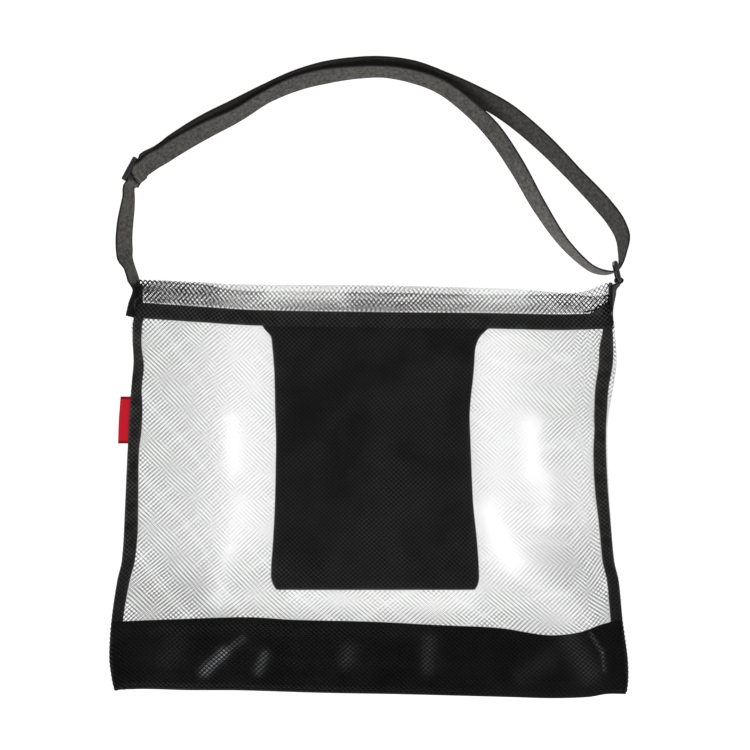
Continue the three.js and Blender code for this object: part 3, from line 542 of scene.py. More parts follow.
# The bindings' inner and outer edges: where the seam turns up on edge, less of the tape's width
# is seen. Shares of its width
tapeEdges = {
    "up": [0.0, 0.2, 0.29, 0.39, 0.49, 0.58, 0.63, 0.68, 0.73, 0.78, 0.83, 0.88, 0.92, 0.95, 1.0],
    "leftIn": [0.03, 0.03, 0.03, 0.03, 0, 0, 0.05, 0.05, 0.03, 0.03, 0.03, 0.1, 0, -0.3, -0.3],
    "leftWide": [1.0, 1.01, 1.1, 1.18, 1.08, 0.98, 1.1, 1.1, 0.9, 0.92, 0.75, 0.8, 0.9, 0.9, 0.85],
    "rightIn": [
        0.03, 0.03, 0.03, 0.03, 0.1, 0.12, 0.12, 0.2, 0.4, 0.35, 0.25, 0.17, 0.17, 0, -0.2,
    ],
    "rightWide": [
        1.02, 1.02, 1.01, 1.01, 1.12, 1.1, 1.01, 1.11, 1.16, 1.21, 1.22, 0.82, 0.8, 0.75, 0.75,
    ],
}
tapeIn = {side: reader(tapeEdges, "up", side + "In") for side in ("left", "right")}
tapeWide = {side: reader(tapeEdges, "up", side + "Wide") for side in ("left", "right")}


# Net: two families of fine threads with a knot where they cross, over each panel and its hem.
# threeSided widens a thread of three sides, so that it looks as thick as a round one
net = {
    "front": 0.218, "back": 0.148, "step": 6.0,
    "knotLong": 0.55, "knotWide": 0.33, "knotTall": 0.24, "sway": 1.1,
    "width": 496.0, "length": 405.0, "hem": 15.0, "full": 2.0, "mostRows": 250,
    "hemFuller": 0.3, "hemFrom": 372.0, "thinnest": 0.16, "thickest": 2.0, "threeSided": 1.155,
}


def fold(x, side):
    return hemEdge(x, side) - wall


def onPanel(side, sx, sy):
    length = net["length"]
    share = sx / net["width"] + 0.5
    swayX = net["sway"] * ripples(sx, sy, 150.0, 0.4)
    swayY = net["sway"] * ripples(sx, sy, 130.0, 2.2)
    fromSides = np.minimum(share, 1 - share) * 12
    inside = smooth(np.minimum(fromSides, np.minimum(sy, length - sy) / 40))
    guess = mix(leftEdge(sy), rightEdge(sy), share)
    up = np.minimum(sy, length) / length
    y = mix(bottomEdge(guess), fold(guess, side), up) + swayY * inside
    x = mix(leftEdge(y), rightEdge(y), share) + swayX * inside
    back = np.maximum(0, sy - length) / net["hem"]
    y = y - back * (fold(x, side) - zipTop(x) - 3 * gap)
    over = np.clip((sy - length) / 1.2 + 0.5, 0, 1)
    depth = -0.5 * wall + smooth(over) * (bag["hemGap"] + wall)
    if side == "front":
        z = roof(x, y) - depth
    else:
        z = backHigh(x, y) + depth
    return np.stack([x, y, z], axis=-1)


# Where the net is drawn tight its threads are finer, and where it gathers they are thicker; the
# finer threads also stand in for painted highlights off the glossy threads: from and to (mm), how
# far it reaches, and how much of the thread it takes away
strains = [
    (-121, 345, -121, 170, 50, 0.5), (-139, 268, -137, 222, 9, 0.7),
    (-131, 183, -138, 145, 9, 0.35), (-143, 140, -153, 90, 9, 0.35),
    (-150, 92, -105, 92, 12, 0.25), (-223, 95, -165, 88, 34, -0.32),
    (124, 340, 124, 150, 52, 0.54), (159, 265, 161, 218, 12, 0.72), (172, 210, 172, 172, 11, 0.5),
    (116, 178, 141, 128, 11, 0.72), (130, 140, 200, 75, 12, 0.25), (195, 125, 238, 85, 28, -0.2),
    (-75, 92, 95, 90, 15, 0.42), (-225, 402, -160, 396, 14, -0.3), (-100, 396, -30, 394, 8, 0.5),
    (105, 396, 150, 394, 8, 0.4), (208, 245, 208, 175, 22, 0.22), (195, 345, 195, 295, 25, 0.13),
]


# Over the dark cloths inside, the threads lie closer and look fuller
def overCloth(x, y):
    left, right = pocketSides(y)
    inside = np.minimum(np.minimum(x - left, right - x), y - pocketBottom)
    pocketed = smooth(inside / 3) * smooth((pocketTop - y) / 3)
    taped = smooth((y - zipTop(x) + bag["zipTapeHeight"]) / 3) * smooth((zipTop(x) - y) / 3)
    banded = smooth((bandEdge(x) - y) / 3)
    bound = 0
    for side, fromEdge in (("left", x - leftEdge(y)), ("right", rightEdge(y) - x)):
        share = fromEdge / bag["bindingWidth"] - tapeIn[side](y / height)
        toInner = tapeWide[side](y / height) - share
        bound = np.maximum(bound, smooth(share * 4) * smooth(toInner * 5))
    return np.max([pocketed, taped, banded, bound], axis=0)


def fineness(x, y):
    total = 1.0
    for strain in strains:
        total = total * (1 - actsAt(x, y, strain))
    hemmed = 1 + net["hemFuller"] * smooth((y - net["hemFrom"]) / 10)
    total = np.clip(total * hemmed, net["thinnest"], net["thickest"])
    return mix(total, np.maximum(total, net["full"]), overCloth(x, y))


def netLines(side, waves):
    halfWide = net["width"] / 2
    top = net["length"] + net["hem"]
    lines = []
    for kx, ky in waves:
        size = kx * kx + ky * ky
        corners = [kx * x + ky * y for x in (-halfWide, halfWide) for y in (0, top)]
        for m in range(math.ceil(min(corners)), math.floor(max(corners)) + 1):
            base = np.array([kx, ky]) * m / size
            run = np.array([-ky, kx]) / math.sqrt(size)
            low, high = -1e9, 1e9
            for axis, lo, hi in ((0, -halfWide, halfWide), (1, 0.0, top)):
                a = (lo - base[axis]) / run[axis]
                b = (hi - base[axis]) / run[axis]
                low = max(low, min(a, b))
                high = min(high, max(a, b))
            if high - low < 2:
                continue
            stops = list(np.linspace(low, high, max(2, math.ceil((high - low) / net["step"]) + 1)))
            stops += [v for e in (0.6, 1.8, 3.6) for v in (low + e, high - e) if low < v < high]
            turn = (net["length"] - base[1]) / run[1]
            stops += [turn + e for e in (-0.8, 0.0, 0.8) if low < turn + e < high]
            stops = np.array(sorted(stops))
            stops = stops[np.concatenate([[True], np.diff(stops) > 0.15])]
            flat = base[None] + stops[:, None] * run[None]
            points = onPanel(side, flat[:, 0], flat[:, 1])
            radius = net[side] * net["threeSided"] * fineness(points[:, 0], points[:, 1])
            lines.append((points, radius))
    return lines


def netKnots(side, waves):
    (ax, ay), (bx, by) = waves
    det = ax * by - ay * bx
    halfWide = net["width"] / 2
    top = net["length"] + net["hem"]
    counts = np.arange(-net["mostRows"], net["mostRows"] + 1)
    m, n = np.meshgrid(counts, counts, indexing="ij")
    x = (by * m - ay * n) / det
    y = (-bx * m + ax * n) / det
    inside = (abs(x) < halfWide - 0.5) & (y > 0.5) & (y < top - 0.5)
    x, y = x[inside], y[inside]
    here = onPanel(side, x, y)
    above = onPanel(side, x, y + 0.4)
    normal = np.tile([0.0, 0.0, 1.0], (len(x), 1))
    return here, above - here, normal


def netPiece(side, waves):
    name = f"net_{side}"
    threads = netLines(side, waves)
    here, along, normal = netKnots(side, waves)
    fine = fineness(here[:, 0], here[:, 1])
    for half, sign, more in (("left", -1, 1), ("right", 1, 0)):
        cut = []
        for points, radius in threads:
            index = np.flatnonzero(points[:, 0] * sign > 0)
            if len(index) + more < 2:
                continue
            span = slice(max(0, index[0] - more), index[-1] + 1 + more)
            if len(points[span]) > 1:
                cut.append((points[span], radius[span]))
        piece = tubes(f"{name}_{half}", cut)
        mine = here[:, 0] * sign > 0
        share = net[side] / net["front"]
        sizes = [net[key] * share * fine[mine] for key in ("knotLong", "knotWide", "knotTall")]
        knotVerts, knotFaces = grains(here[mine], along[mine], normal[mine], sizes)
        knots = rawMesh(f"{name}_{half}_knots", knotVerts, knotFaces)
        keep(piece, netMaterial, "net", *([name] if half == "left" else []))
        keep(knots, netMaterial, "net")


netMaterial = material(
    "net", [(0.004, 0.004, 0.0043), (0.01, 0.01, 0.0105)], wear(40.0), (0.45, 0.6),
    Specular_IOR_Level=0.12,
)
netPiece("front", [(0.2032, 0.2188), (0.2032, -0.2188)])
netPiece("back", [(0.1925, 0.2400), (0.2150, -0.2060)])
print("nets made")


# Linings: the bottom band, the zip's tapes
def liningPlace(side, thickness, low, high, wrinkle=None, edge=1.3):
    def place(u, v):
        guess = mix(leftEdge(0.0) + edge, rightEdge(0.0) - edge, u)
        y = mix(low(guess), high(guess), v)
        x = mix(leftEdge(y) + edge, rightEdge(y) - edge, u)
        y = mix(low(x), high(x), v)
        if side == "front":
            z = roof(x, y) - gap
            if wrinkle:
                z = z - wrinkle(x, y)
        else:
            z = backHigh(x, y) + gap + thickness
        return np.stack([x, y, z], axis=-1)

    return place


band = {
    "wrinkle": 1.3, "hemWidth": 7.5, "hemStep": 0.12, "boundWidth": 16.5,
    "drop": 1.6, "cornerFrom": 240.0, "cornerOver": 10.0,
}

# Sharp folds of the glossy cloth that catch the light: from, to, reach (mm) and height
bandFolds = [
    (-167, 17, -135, 49, 4.0, 1.0), (-119, 22, -103, 42, 3.6, 0.75), (-24, 34, -22, 38, 5.0, 0.3),
    (57, 22, 58, 52, 4.5, 0.35), (217, 55, 219, 34, 3.0, 0.4), (219, 34, 234, 12, 3.0, 0.45),
]


def bandWrinkle(x, y):
    fromHem = (bandEdge(x) - y) / band["hemWidth"]
    hem = 1 - smooth((fromHem - 0.7) / 1.7)
    bound = 1 - smooth((y - bandLow(x) - band["boundWidth"]) / 1.6)
    waves = 0.5 + 0.5 * ripples(x, y * 1.6, 46.0, 0.9)
    fine = 0.5 + 0.5 * ripples(x + 0.4 * y, y, 17.0, 2.0)
    down = band["hemStep"] + band["wrinkle"] * (0.35 + 0.4 * waves**2 + 0.25 * fine)
    for crease in bandFolds:
        down = down * (1 - actsAt(x, y, crease))
    return (1 - hem) * mix(down, band["hemStep"] + 0.1 * fine, bound)


# Painted highlights where the glossy cloth throws the light back, put into its colour: from, to,
# reach (mm) and how strongly
bandPaintedGlints = [
    (-166, 19, -147, 38, 5.0, 0.85), (-148, 37, -128, 52, 4.0, 0.3), (-112, 20, -106, 36, 4.6, 0.5),
    (219, 57, 231, 38, 1.6, 0.5), (231, 38, 233, 20, 1.6, 0.45), (200, 48, 218, 18, 12.0, 0.22),
    (-24, 30, -22, 40, 8.0, 0.18), (56, 22, 58, 50, 7.0, 0.2), (-205, 30, -195, 48, 14.0, 0.08),
    (150, 14, 175, 30, 10.0, 0.1),
]


# Painted glints lighten the cloth's colour, over a faint tone that differs at random
def glossGlintAndTone(place):
    return place.attribute("paintedGlint") + place.noise(18.0).between(0.3, 0.7) * 0.035


def bandLow(x):
    corner = smooth((-x - band["cornerFrom"]) / band["cornerOver"])
    return bottomEdge(x) - band["drop"] * (1 - corner)


# Its light colour is the painted highlight's colour
glossCloth = material(
    "gloss_cloth", [(0.006, 0.006, 0.0064), (0.3, 0.305, 0.315)], glossGlintAndTone, (0.34, 0.3),
    weave(0.9), 0.15, 0.0001, Specular_IOR_Level=0.05,
)
bandFront = clothSheet(
    "band_front_cloth", 240, 34,
    liningPlace("front", bag["clothWall"], bandLow, bandEdge, bandWrinkle), 0.6,
)
corners = np.array([v.co[:] for v in bandFront.data.vertices]) * 1000 - shift
# Painted glint strength at each of the band's points
paintedGlint = bandFront.data.attributes.new("paintedGlint", "FLOAT", "POINT")
paintedGlintSum = sum(actsAt(corners[:, 0], corners[:, 1], glint) for glint in bandPaintedGlints)
paintedGlint.data.foreach_set("value", np.minimum(1, paintedGlintSum).astype(np.float32))
keep(bandFront, glossCloth, "gloss_cloth", "band_front")
bandBack = clothSheet(
    "band_back_cloth", 120, 16, liningPlace("back", bag["clothWall"], bandLow, bandEdge), 0.6
)
keep(bandBack, glossCloth, "gloss_cloth", "band_back")

tapeCloth = material(
    "zip_tape", [(0.052, 0.052, 0.053), (0.086, 0.086, 0.087)], wear(60.0), (0.7, 0.85),
    tapeRibs(1.3), 0.5, 0.0002, Specular_IOR_Level=0.15,
)
zipTape = {"turnUp": 9.5, "turnFrom": 217.0, "turnOver": 17.0}


def tapeLow(x):
    return zipTop(x) - bag["zipTapeHeight"]


# The tape's end is turned up over the slider at the right
def tapeTop(x):
    turned = smooth((x - zipTape["turnFrom"]) / zipTape["turnOver"])
    return zipTop(x) + zipTape["turnUp"] * turned


for side in ("front", "back"):
    tape = clothSheet(
        f"zip_tape_{side}_cloth", 200, 8,
        liningPlace(side, bag["zipTapeWall"], tapeLow, tapeTop), bag["zipTapeWall"],
    )
    keep(tape, tapeCloth, "zip_tape", f"zip_tape_{side}")
print("band and zip tapes made")


# Pocket
def pocketUnder(x, y):
    tapeHeight = bag["zipTapeHeight"]
    underTape = smooth((y - (pocketTop - 3 * tapeHeight)) / (1.5 * tapeHeight))
    return roof(x, y) - gap - (bag["zipTapeWall"] + gap) * underTape


def pocketPlace(which):
    top = pocketTop if which == "front" else pocketTop - pocket["mouth"]

    def place(u, v):
        y = mix(pocketBottom, top, v)
        left, right = pocketSides(y)
        x = mix(left, right, u)
        z = pocketUnder(x, y)
        edge = np.minimum(np.minimum(x - left, right - x), y - pocketBottom)
        if which == "front":
            calm = smooth(edge / pocket["calmSides"]) * smooth((top - y) / pocket["calmTop"])
            waves = 0.5 + 0.5 * ripples(x, y * 0.7, 62.0, 1.3)
            z = z - pocket["wrinkle"] * calm * waves
        else:
            room = z - backHigh(x, y) - 2 * (bag["clothWall"] + gap)
            hollow = np.minimum(pocket["hollow"], room * pocket["share"])
            z = z - bag["clothWall"] - gap - hollow * roundRise(edge / pocket["round"])
        return np.stack([x, y, z], axis=-1)

    return place


pocketCloth = material(
    "pocket_cloth", [(0.034, 0.034, 0.0345), (0.062, 0.062, 0.063)], wear(22.0), (0.75, 0.9),
    weave(0.8), 0.35, 0.00015, Specular_IOR_Level=0.12,
)
for which in ("front", "back"):
    sheet = clothSheet(f"pocket_{which}_cloth", 90, 120, pocketPlace(which), 0.6)
    keep(sheet, pocketCloth, "cloth", f"pocket_{which}")
print("pocket made")


# Bindings
def stripPlace(path, thickness):
    def place(u, v):
        across, side = aroundTape(u, 0.55)
        x, y = path(v, across)
        z = backHigh(x, y) + gap + liningRoom(y) + thickness * (0.5 + 0.5 * side)
        return np.stack([x, y, z], axis=-1)

    return place


zipEnd = min(zipTop(leftEdge(zipLow)), zipTop(rightEdge(zipLow)))
plateOut = bag["coilThickness"] / 2 + gap
bindingTop = zipEnd - bag["coilThickness"] / 2 - plateOut - bag["sliderWall"] - gap
sideTop = {"left": height - 6.0, "right": height - 4.0}
bottomIn = 0.26  # how far in the bottom binding starts, as a share of its width


def sidePath(side):
    edge = leftEdge if side == "left" else rightEdge
    sign = 1 if side == "left" else -1
    start = bottomEdge(edge(0.0)) + 1.5

    def path(v, across):
        y = mix(start, sideTop[side], v)
        wide = tapeWide[side](y / height)
        if side == "right":
            wide = wide * (1 - 0.6 * smooth((y - bindingTop) / 2))
        inset = bag["bindingWidth"] * (tapeIn[side](y / height) + across * wide)
        return edge(y) + sign * inset, y

    return path


def bottomPath(v, across):
    room = bag["bindingWidth"] * (1 + bottomIn) + gap
    x = mix(leftEdge(0.0) + room, rightEdge(0.0) - room, v)
    return x, bottomEdge(x) + bag["bindingWidth"] * (bottomIn + across)


# Painted shade: the bindings are darker towards the bottom corners, over a tone that differs at
# random
def bindingPaintedShade(place):
    return place.noise(90.0).between(0.2, 0.6) * place.axis("Y").between(-0.26, -0.13)


bindingCloth = material(
    "binding", [(0.03, 0.029, 0.028), (0.105, 0.1, 0.095)], bindingPaintedShade, (0.75, 0.9),
    tapeRibs(0.9), 0.6, 0.0002, Specular_IOR_Level=0.2,
)
paths = {"left": sidePath("left"), "right": sidePath("right"), "bottom": bottomPath}
for side, path in paths.items():
    place = stripPlace(path, bag["bindingThickness"])
    strip = closedStrip(f"binding_{side}_tape", 20, 160, place)
    keep(strip, bindingCloth, "binding", f"binding_{side}")
print("bindings made")

# Strap and the hardware that it runs through
strap = {
    "width": 20.0, "thickness": 1.3, "rise": 222.0, "clearance": 0.35, "step": 3.0,
    "glideBar": 3.6, "glideSpacing": 11.0, "glideSide": 3.4, "glideRail": 4.6,
    "glideTilt": 33.0, "glideHeading": 61.5, "glideAcross": -0.0025, "glideUp": 0.477,
    "ringBar": 4.0, "ringDepth": 22.0, "ringCorner": 2.6, "ringAcross": 1.0127,
    "ringUp": 0.03, "ringHeading": 102.0, "tabReach": 46.0, "tabIn": -3.4, "tabOut": 3.0,
    "railSoft": 1.5, "ribSlant": 0.6, "ribPitch": 1.5, "cordPitch": 1.25,
}
# How its webbing's tone is set: between which breadths (mm) its edges go dark, how much painted
# shade darkens it under its outer layer and on it, and how much painted light lightens it on the
# far side of the ring
webbingTone = {"edges": ((9.6, 7.4), (-9.4, -8.7)), "under": 0.55, "outer": 0.3, "paintedLight": 0.85}
strapLeft = [
    (-0.0148, -0.171, 20, 0.12), (-0.008, -0.113, 22, 0.12), (-0.0005, -0.054, 18, 0.1),
    (-0.0078, -0.006, 31, 0.06), (-0.0165, 0.05, 29, 0.02), (-0.0262, 0.09, 45, 0.0),
    (-0.0278, 0.13, 53, 0.0), (-0.0285, 0.18, 52, 0.0), (-0.0258, 0.252, 49, 0.01),
    (-0.0205, 0.324, 40, 0.1), (-0.0178, 0.37, 32, 0.14), (-0.017, 0.412, 29, 0.19),
]
strapArch = [
    (0.048, 0.565, 56, 0.18), (0.078, 0.615, 52, 0.08), (0.139, 0.7, 46, 0.0),
    (0.204, 0.771, 42, 0.0), (0.268, 0.839, 42, 0.0), (0.331, 0.899, 46, 0.0),
    (0.393, 0.94, 46, 0.0), (0.458, 0.962, 42, 0.0), (0.521, 0.966, 42, 0.0),
    (0.585, 0.945, 46, 0.0), (0.649, 0.893, 51, 0.0), (0.716, 0.827, 61, 0.0),
    (0.782, 0.748, 70, 0.0), (0.856, 0.617, 61, 0.0), (0.923, 0.472, 50, 0.0),
    (0.982, 0.34, 57, 0.0), (1.013, 0.255, 54, 0.0), (1.027, 0.185, 42, 0.02),
    (1.026, 0.12, 20, 0.12), (1.0205, 0.06, 4, 0.225), (1.0115, 0.034, 0, 0.225),
    (0.9905, 0.027, -10, 0.2), (0.966, 0.04, -16, 0.12), (0.946, 0.068, -18, 0.06),
    (0.901, 0.165, -27, 0.0), (0.851, 0.323, -42, 0.0), (0.801, 0.512, -51, 0.0),
    (0.751, 0.667, -56, 0.0), (0.701, 0.772, -48, 0.0), (0.642, 0.864, -44, 0.0),
    (0.58, 0.911, -38, 0.0), (0.52, 0.931, -32, 0.0), (0.46, 0.927, -35, 0.0),
    (0.397, 0.911, -46, 0.0), (0.334, 0.877, -45, 0.0), (0.272, 0.817, -36, 0.0),
    (0.212, 0.738, -40, 0.0), (0.147, 0.671, -54, 0.06), (0.0842, 0.596, -60, 0.2),
    (0.0524, 0.5514, -58, 0.32), (0.0335, 0.527, -58, 0.42), (0.0075, 0.483, -58, 0.59),
]
strapTail = [(0.05, 0.558, 57, 0.238), (0.0764, 0.598, 56, 0.131)]
upright = np.array([0.0, 0.0, 1.0])
clear = strap["clearance"]
leftAnchor, rightAnchor = leftEdge(height), rightEdge(height)


def strapPlace(across, up):
    return np.array([mix(leftAnchor, rightAnchor, across), height + strap["rise"] * up, 0.0])


def headed(degrees):
    return np.array([math.cos(math.radians(degrees)), math.sin(math.radians(degrees)), 0.0])


glideTurn = math.radians(strap["glideTilt"])
glideAlong = headed(strap["glideHeading"])
glideLeft = np.array([-glideAlong[1], glideAlong[0], 0.0])
glideUpward = glideLeft * math.sin(glideTurn) + upright * math.cos(glideTurn)
glideFacing = np.cross(glideAlong, glideUpward)
glideHalf = strap["width"] / 2 + clear + strap["glideSide"]
glideHeight = glideHalf * math.cos(glideTurn) + strap["glideRail"] / 2 * math.sin(glideTurn)
glideOrigin = strapPlace(strap["glideAcross"], strap["glideUp"]) + upright * glideHeight


def held(along, facing):
    return glideOrigin + glideAlong * along + glideFacing * facing, glideUpward


def arc(centre, radius, first, last, steps):
    turns = np.radians(np.linspace(first, last, steps + 1))
    return [held(centre + radius * math.cos(t), radius * math.sin(t)) for t in turns]


def free(row):
    across, up, tilt, lift = row
    turn = math.radians(abs(tilt))
    reach = strap["width"] / 2 * math.cos(turn) + strap["thickness"] / 2 * math.sin(turn)
    return strapPlace(across, up) + upright * (clear + lift * strap["width"] + reach), tilt


spacing = strap["glideSpacing"]
barWrap = strap["glideBar"] / 2 + strap["thickness"] / 2 + clear
layerStep = strap["thickness"] + clear
under = barWrap + layerStep
strapStations = [free(row) for row in strapLeft]
strapStations += arc(-spacing, barWrap, 120, 0, 4) + arc(0, under, -140, -40, 4)
strapStations += arc(spacing, barWrap, 180, 60, 4) + [held(spacing + 5, 1.4)]
strapStations += [free(row) for row in strapArch]
# It folds over the middle bar at a slant
slant = np.array([-0.24, 0.6, 0.76])
for along, facing in ((-1.4, 5.0), (-3.5, 3.3), (-4.3, 0.9), (-3.2, -1.3)):
    strapStations.append((held(along, facing)[0], slant))
strapStations += arc(0, barWrap, 245, 300, 2)
strapStations += [held(0.45 * spacing - 0.4, -1.2), held(0.55 * spacing - 0.2, 0.6)]
strapStations += [held(0.7 * spacing, under - 1.3), held(spacing - 0.4, under)]
strapStations += [free(row) for row in strapTail]


# Points, tangents and widths' directions of a flat ribbon along its stations
def ribbonFrames(stations, step):
    points = np.array([p for p, _ in stations])
    last = len(points) - 1
    ups = []
    for i, (_, tilt) in enumerate(stations):
        if isinstance(tilt, np.ndarray):
            ups.append(tilt)
            continue
        on, back = points[min(last, i + 1)], points[max(0, i - 1)]
        left = np.array([back[1] - on[1], on[0] - back[0], 0.0])
        left /= np.linalg.norm(left)
        turn = math.radians(tilt)
        ups.append(left * math.sin(turn) + upright * math.cos(turn))
    ups = np.array(ups)
    made, widths = [], []
    for i in range(last):
        p1, p2 = points[i], points[i + 1]
        p0 = points[i - 1] if i > 0 else 2 * p1 - p2
        p3 = points[i + 2] if i < last - 1 else 2 * p2 - p1
        d = [max(1e-4, np.linalg.norm(b - a) ** 0.5) for a, b in ((p0, p1), (p1, p2), (p2, p3))]
        m1 = ((p1 - p0) / d[0] - (p2 - p0) / (d[0] + d[1]) + (p2 - p1) / d[1]) * d[1]
        m2 = ((p2 - p1) / d[1] - (p3 - p1) / (d[1] + d[2]) + (p3 - p2) / d[2]) * d[1]
        count = max(1, round(float(np.linalg.norm(p2 - p1)) / step))
        for k in range(count + (i == last - 1)):
            t = k / count
            p = (2 * t**3 - 3 * t**2 + 1) * p1 + (t**3 - 2 * t**2 + t) * m1
            made.append(p + (3 * t**2 - 2 * t**3) * p2 + (t**3 - t**2) * m2)
            widths.append(mix(ups[i], ups[i + 1], t))
    made = np.array(made)
    widths = np.array(widths)
    along = np.gradient(made, axis=0)
    along /= np.linalg.norm(along, axis=1)[:, None]
    widths -= (widths * along).sum(axis=1)[:, None] * along
    widths /= np.linalg.norm(widths, axis=1)[:, None]
    return made, along, widths


# A closed woven ribbon: flat faces, thin round edges, with its run and breadth kept as attributes
def ribbon(name, stations, step):
    points, along, ups = ribbonFrames(stations, step)
    normals = np.cross(along, ups)
    half, thick = strap["width"] / 2, strap["thickness"] / 2
    flats = np.linspace(-1, 1, 9) * (half - thick * 0.7)
    end, low = half - 0.1 * thick, 0.45 * thick
    section = [(a, thick) for a in flats] + [(end, low), (end, -low)]
    section = np.array(section + [(a, -thick) for a in flats[::-1]] + [(-end, -low), (-end, low)])
    count, around = len(points), len(section)
    breadths, depths = section[None, :, 0, None], section[None, :, 1, None]
    verts = points[:, None] + breadths * ups[:, None] + depths * normals[:, None]
    runs = np.concatenate([[0], np.cumsum(np.linalg.norm(np.diff(points, axis=0), axis=1))])
    j, i = np.meshgrid(np.arange(count - 1), np.arange(around), indexing="ij")
    a = j * around + i
    b = j * around + (i + 1) % around
    faces = np.stack([a, b, b + around, a + around], axis=-1).reshape(-1, 4).tolist()
    faces.append(list(range(around))[::-1])
    faces.append(list(range((count - 1) * around, count * around)))
    mesh = bpy.data.meshes.new(name)
    mesh.from_pydata(toMetres(verts.reshape(-1, 3)).tolist(), [], faces)
    kept = {"run": np.repeat(runs, around), "breadth": np.tile(section[:, 0], count)}
    for key, values in kept.items():
        layer = mesh.attributes.new(key, "FLOAT", "POINT")
        layer.data.foreach_set("value", values.astype(np.float32))
    bm = bmesh.new()
    bm.from_mesh(mesh)
    bmesh.ops.recalc_face_normals(bm, faces=bm.faces)
    layer = bm.loops.layers.uv.new("UVMap")
    for face in bm.faces:
        for loop in face.loops:
            row, column = divmod(loop.vert.index, around)
            columns = [each.vert.index % around for each in face.loops]
            closing = column == 0 and around - 1 in columns
            loop[layer].uv = (row / (count - 1), column / around + closing)
    bm.to_mesh(mesh)
    bm.free()
    shadeSmooth(mesh, 50)
    return linked(name, mesh), points, runs


# Webbing: ribs across its width, in slanted rows that meet at the middle
def webbing(name, colors, dark, layers=None):
    turn = 2 * math.pi / strap["ribPitch"]

    def ribs(place):
        run = place.attribute("run")
        breadth = place.attribute("breadth").size()
        rows = ((run + breadth * strap["ribSlant"]) * turn).sine()
        cords = (breadth * (2 * math.pi / strap["cordPitch"])).sine()
        return rows * 0.35 + cords * 0.25 + 0.5

    def shade(place):
        breadth = place.attribute("breadth")
        upper, lower = webbingTone["edges"]
        edge = breadth.between(*upper) * breadth.between(*lower)
        run = place.attribute("run")
        # Painted shade: the webbing goes dark over its first stretch, up to dark (mm) along its run
        tone = edge * run.between(dark - 4, dark)
        tone = tone * (place.noise(330.0).between(0.3, 0.7) * 0.5 + ribs(place) * 0.5)
        # Painted shade under the outer layer and on it, and painted light on the far side of the
        # ring
        if layers:
            start, fade, end, ring = layers
            under = run.between(start - 8, start) * run.between(end, fade)
            paintedLight = run.between(ring - 2, ring + 12) * run.between(ring + 170, ring + 40)
            outer = run.between(start - 8, start) * run.between(ring - 10, ring - 60)
            tone = tone * (1 - under * webbingTone["under"] - outer * webbingTone["outer"])
            tone = tone * (1 + paintedLight * webbingTone["paintedLight"])
        return tone

    return material(name, colors, shade, (0.85, 0.7), ribs, 0.8, 0.0004, Specular_IOR_Level=0.25)


shoulder, strapLine, strapRuns = ribbon("strap_webbing", strapStations, strap["step"])


def runAt(across, up):
    away = strapLine - strapPlace(across, up)
    return float(strapRuns[np.argmin(np.hypot(away[:, 0], away[:, 1]))])


# Painted shade: the strap's outer layer is darkened where it lies in the shade of the inner one, as
# far as the arch's right side
paintedShadeRuns = [runAt(*strapArch[k][:2]) for k in (0, 10, 12, 20)]
greyWebbing = webbing("webbing", [(0.013, 0.0126, 0.0118), (0.175, 0.169, 0.156)], 36, paintedShadeRuns)
keep(shoulder, greyWebbing, "webbing", "shoulder_strap")

ringAt = strapPlace(strap["ringAcross"], strap["ringUp"])
ringHigh = strap["width"] / 2 + 2 * clear + strap["ringBar"] / 2
ringDeep = (strap["ringDepth"] - strap["ringBar"]) / 2
ringOut = headed(strap["ringHeading"])
ringOrigin = ringAt + upright * (ringHigh + strap["ringBar"] / 2)


def tabStations():
    bar = ringOrigin - ringOut * ringDeep
    low = height - strap["tabReach"]

    def seamSpot(share, extra, tilt):
        y = low + share * strap["tabReach"]
        z = strap["width"] / 2 + 0.25 * bag["tabLift"] + 0.5 * cornerLift(rightEdge(y), y)
        out = mix(strap["tabIn"], strap["tabOut"], share) + extra
        return np.array([rightEdge(y) + out, y, float(z)]), tilt

    def barSpot(turn, reach, lean=0):
        t = math.radians(turn)
        return bar + np.array([reach * math.cos(t), reach * math.sin(t), 0.0]), lean

    radius = strap["ringBar"] / 2 + strap["thickness"] / 2 + clear
    leans = ((0, 2), (0.33, 6), (0.66, 15), (0.8, 19))
    stations = [seamSpot(share, 0.0, lean) for share, lean in leans] + [barSpot(243, 4.2, 9)]
    stations += [barSpot(190, radius + 0.6, 3), barSpot(145, radius + 0.4)]
    stations += [barSpot(95, radius), barSpot(50, radius), barSpot(8, radius + 0.9)]
    stations += [barSpot(-35, radius + 0.4), barSpot(-84, 3.7, -9)]
    stations += [seamSpot(share, layerStep, -lean) for share, lean in leans[::-1]]
    return stations


tab = ribbon("tab_webbing", tabStations(), 1.5)[0]
blackWebbing = webbing("tab_webbing", [(0.012, 0.012, 0.012), (0.03, 0.03, 0.029)], -9)
keep(tab, blackWebbing, "tab_webbing", "ring_tab")
print("strap and tab made")

# Hardware: bars and rails with softened edges
moulded = material(
    "moulded", [(0.008, 0.008, 0.0085), (0.02, 0.02, 0.021)], wear(160.0), (0.3, 0.46),
    lambda place: place.noise(900.0), 0.1, 0.0001,
)


def placeVerts(bm, verts, origin, axes):
    for v in verts:
        p = origin + axes[0] * v.co.x + axes[1] * v.co.y + axes[2] * v.co.z
        v.co = toMetres(p)


def roundedBar(bm, size, soft, origin, axes):
    made = bmesh.ops.create_cube(bm, size=1.0)["verts"]
    for v in made:
        v.co = Vector((v.co.x * size[0], v.co.y * size[1], v.co.z * size[2]))
    edges = list({e for v in made for e in v.link_edges})
    done = bmesh.ops.bevel(
        bm, geom=edges, offset=soft, affect="EDGES", segments=4, profile=0.5, material=-1
    )
    verts = {v for v in made if v.is_valid} | set(done["verts"])
    placeVerts(bm, verts, origin, axes)


def roundBar(bm, radius, length, origin, axes):
    made = bmesh.ops.create_cone(
        bm, cap_ends=True, segments=24, radius1=radius, radius2=radius, depth=length
    )["verts"]
    placeVerts(bm, made, origin, axes)


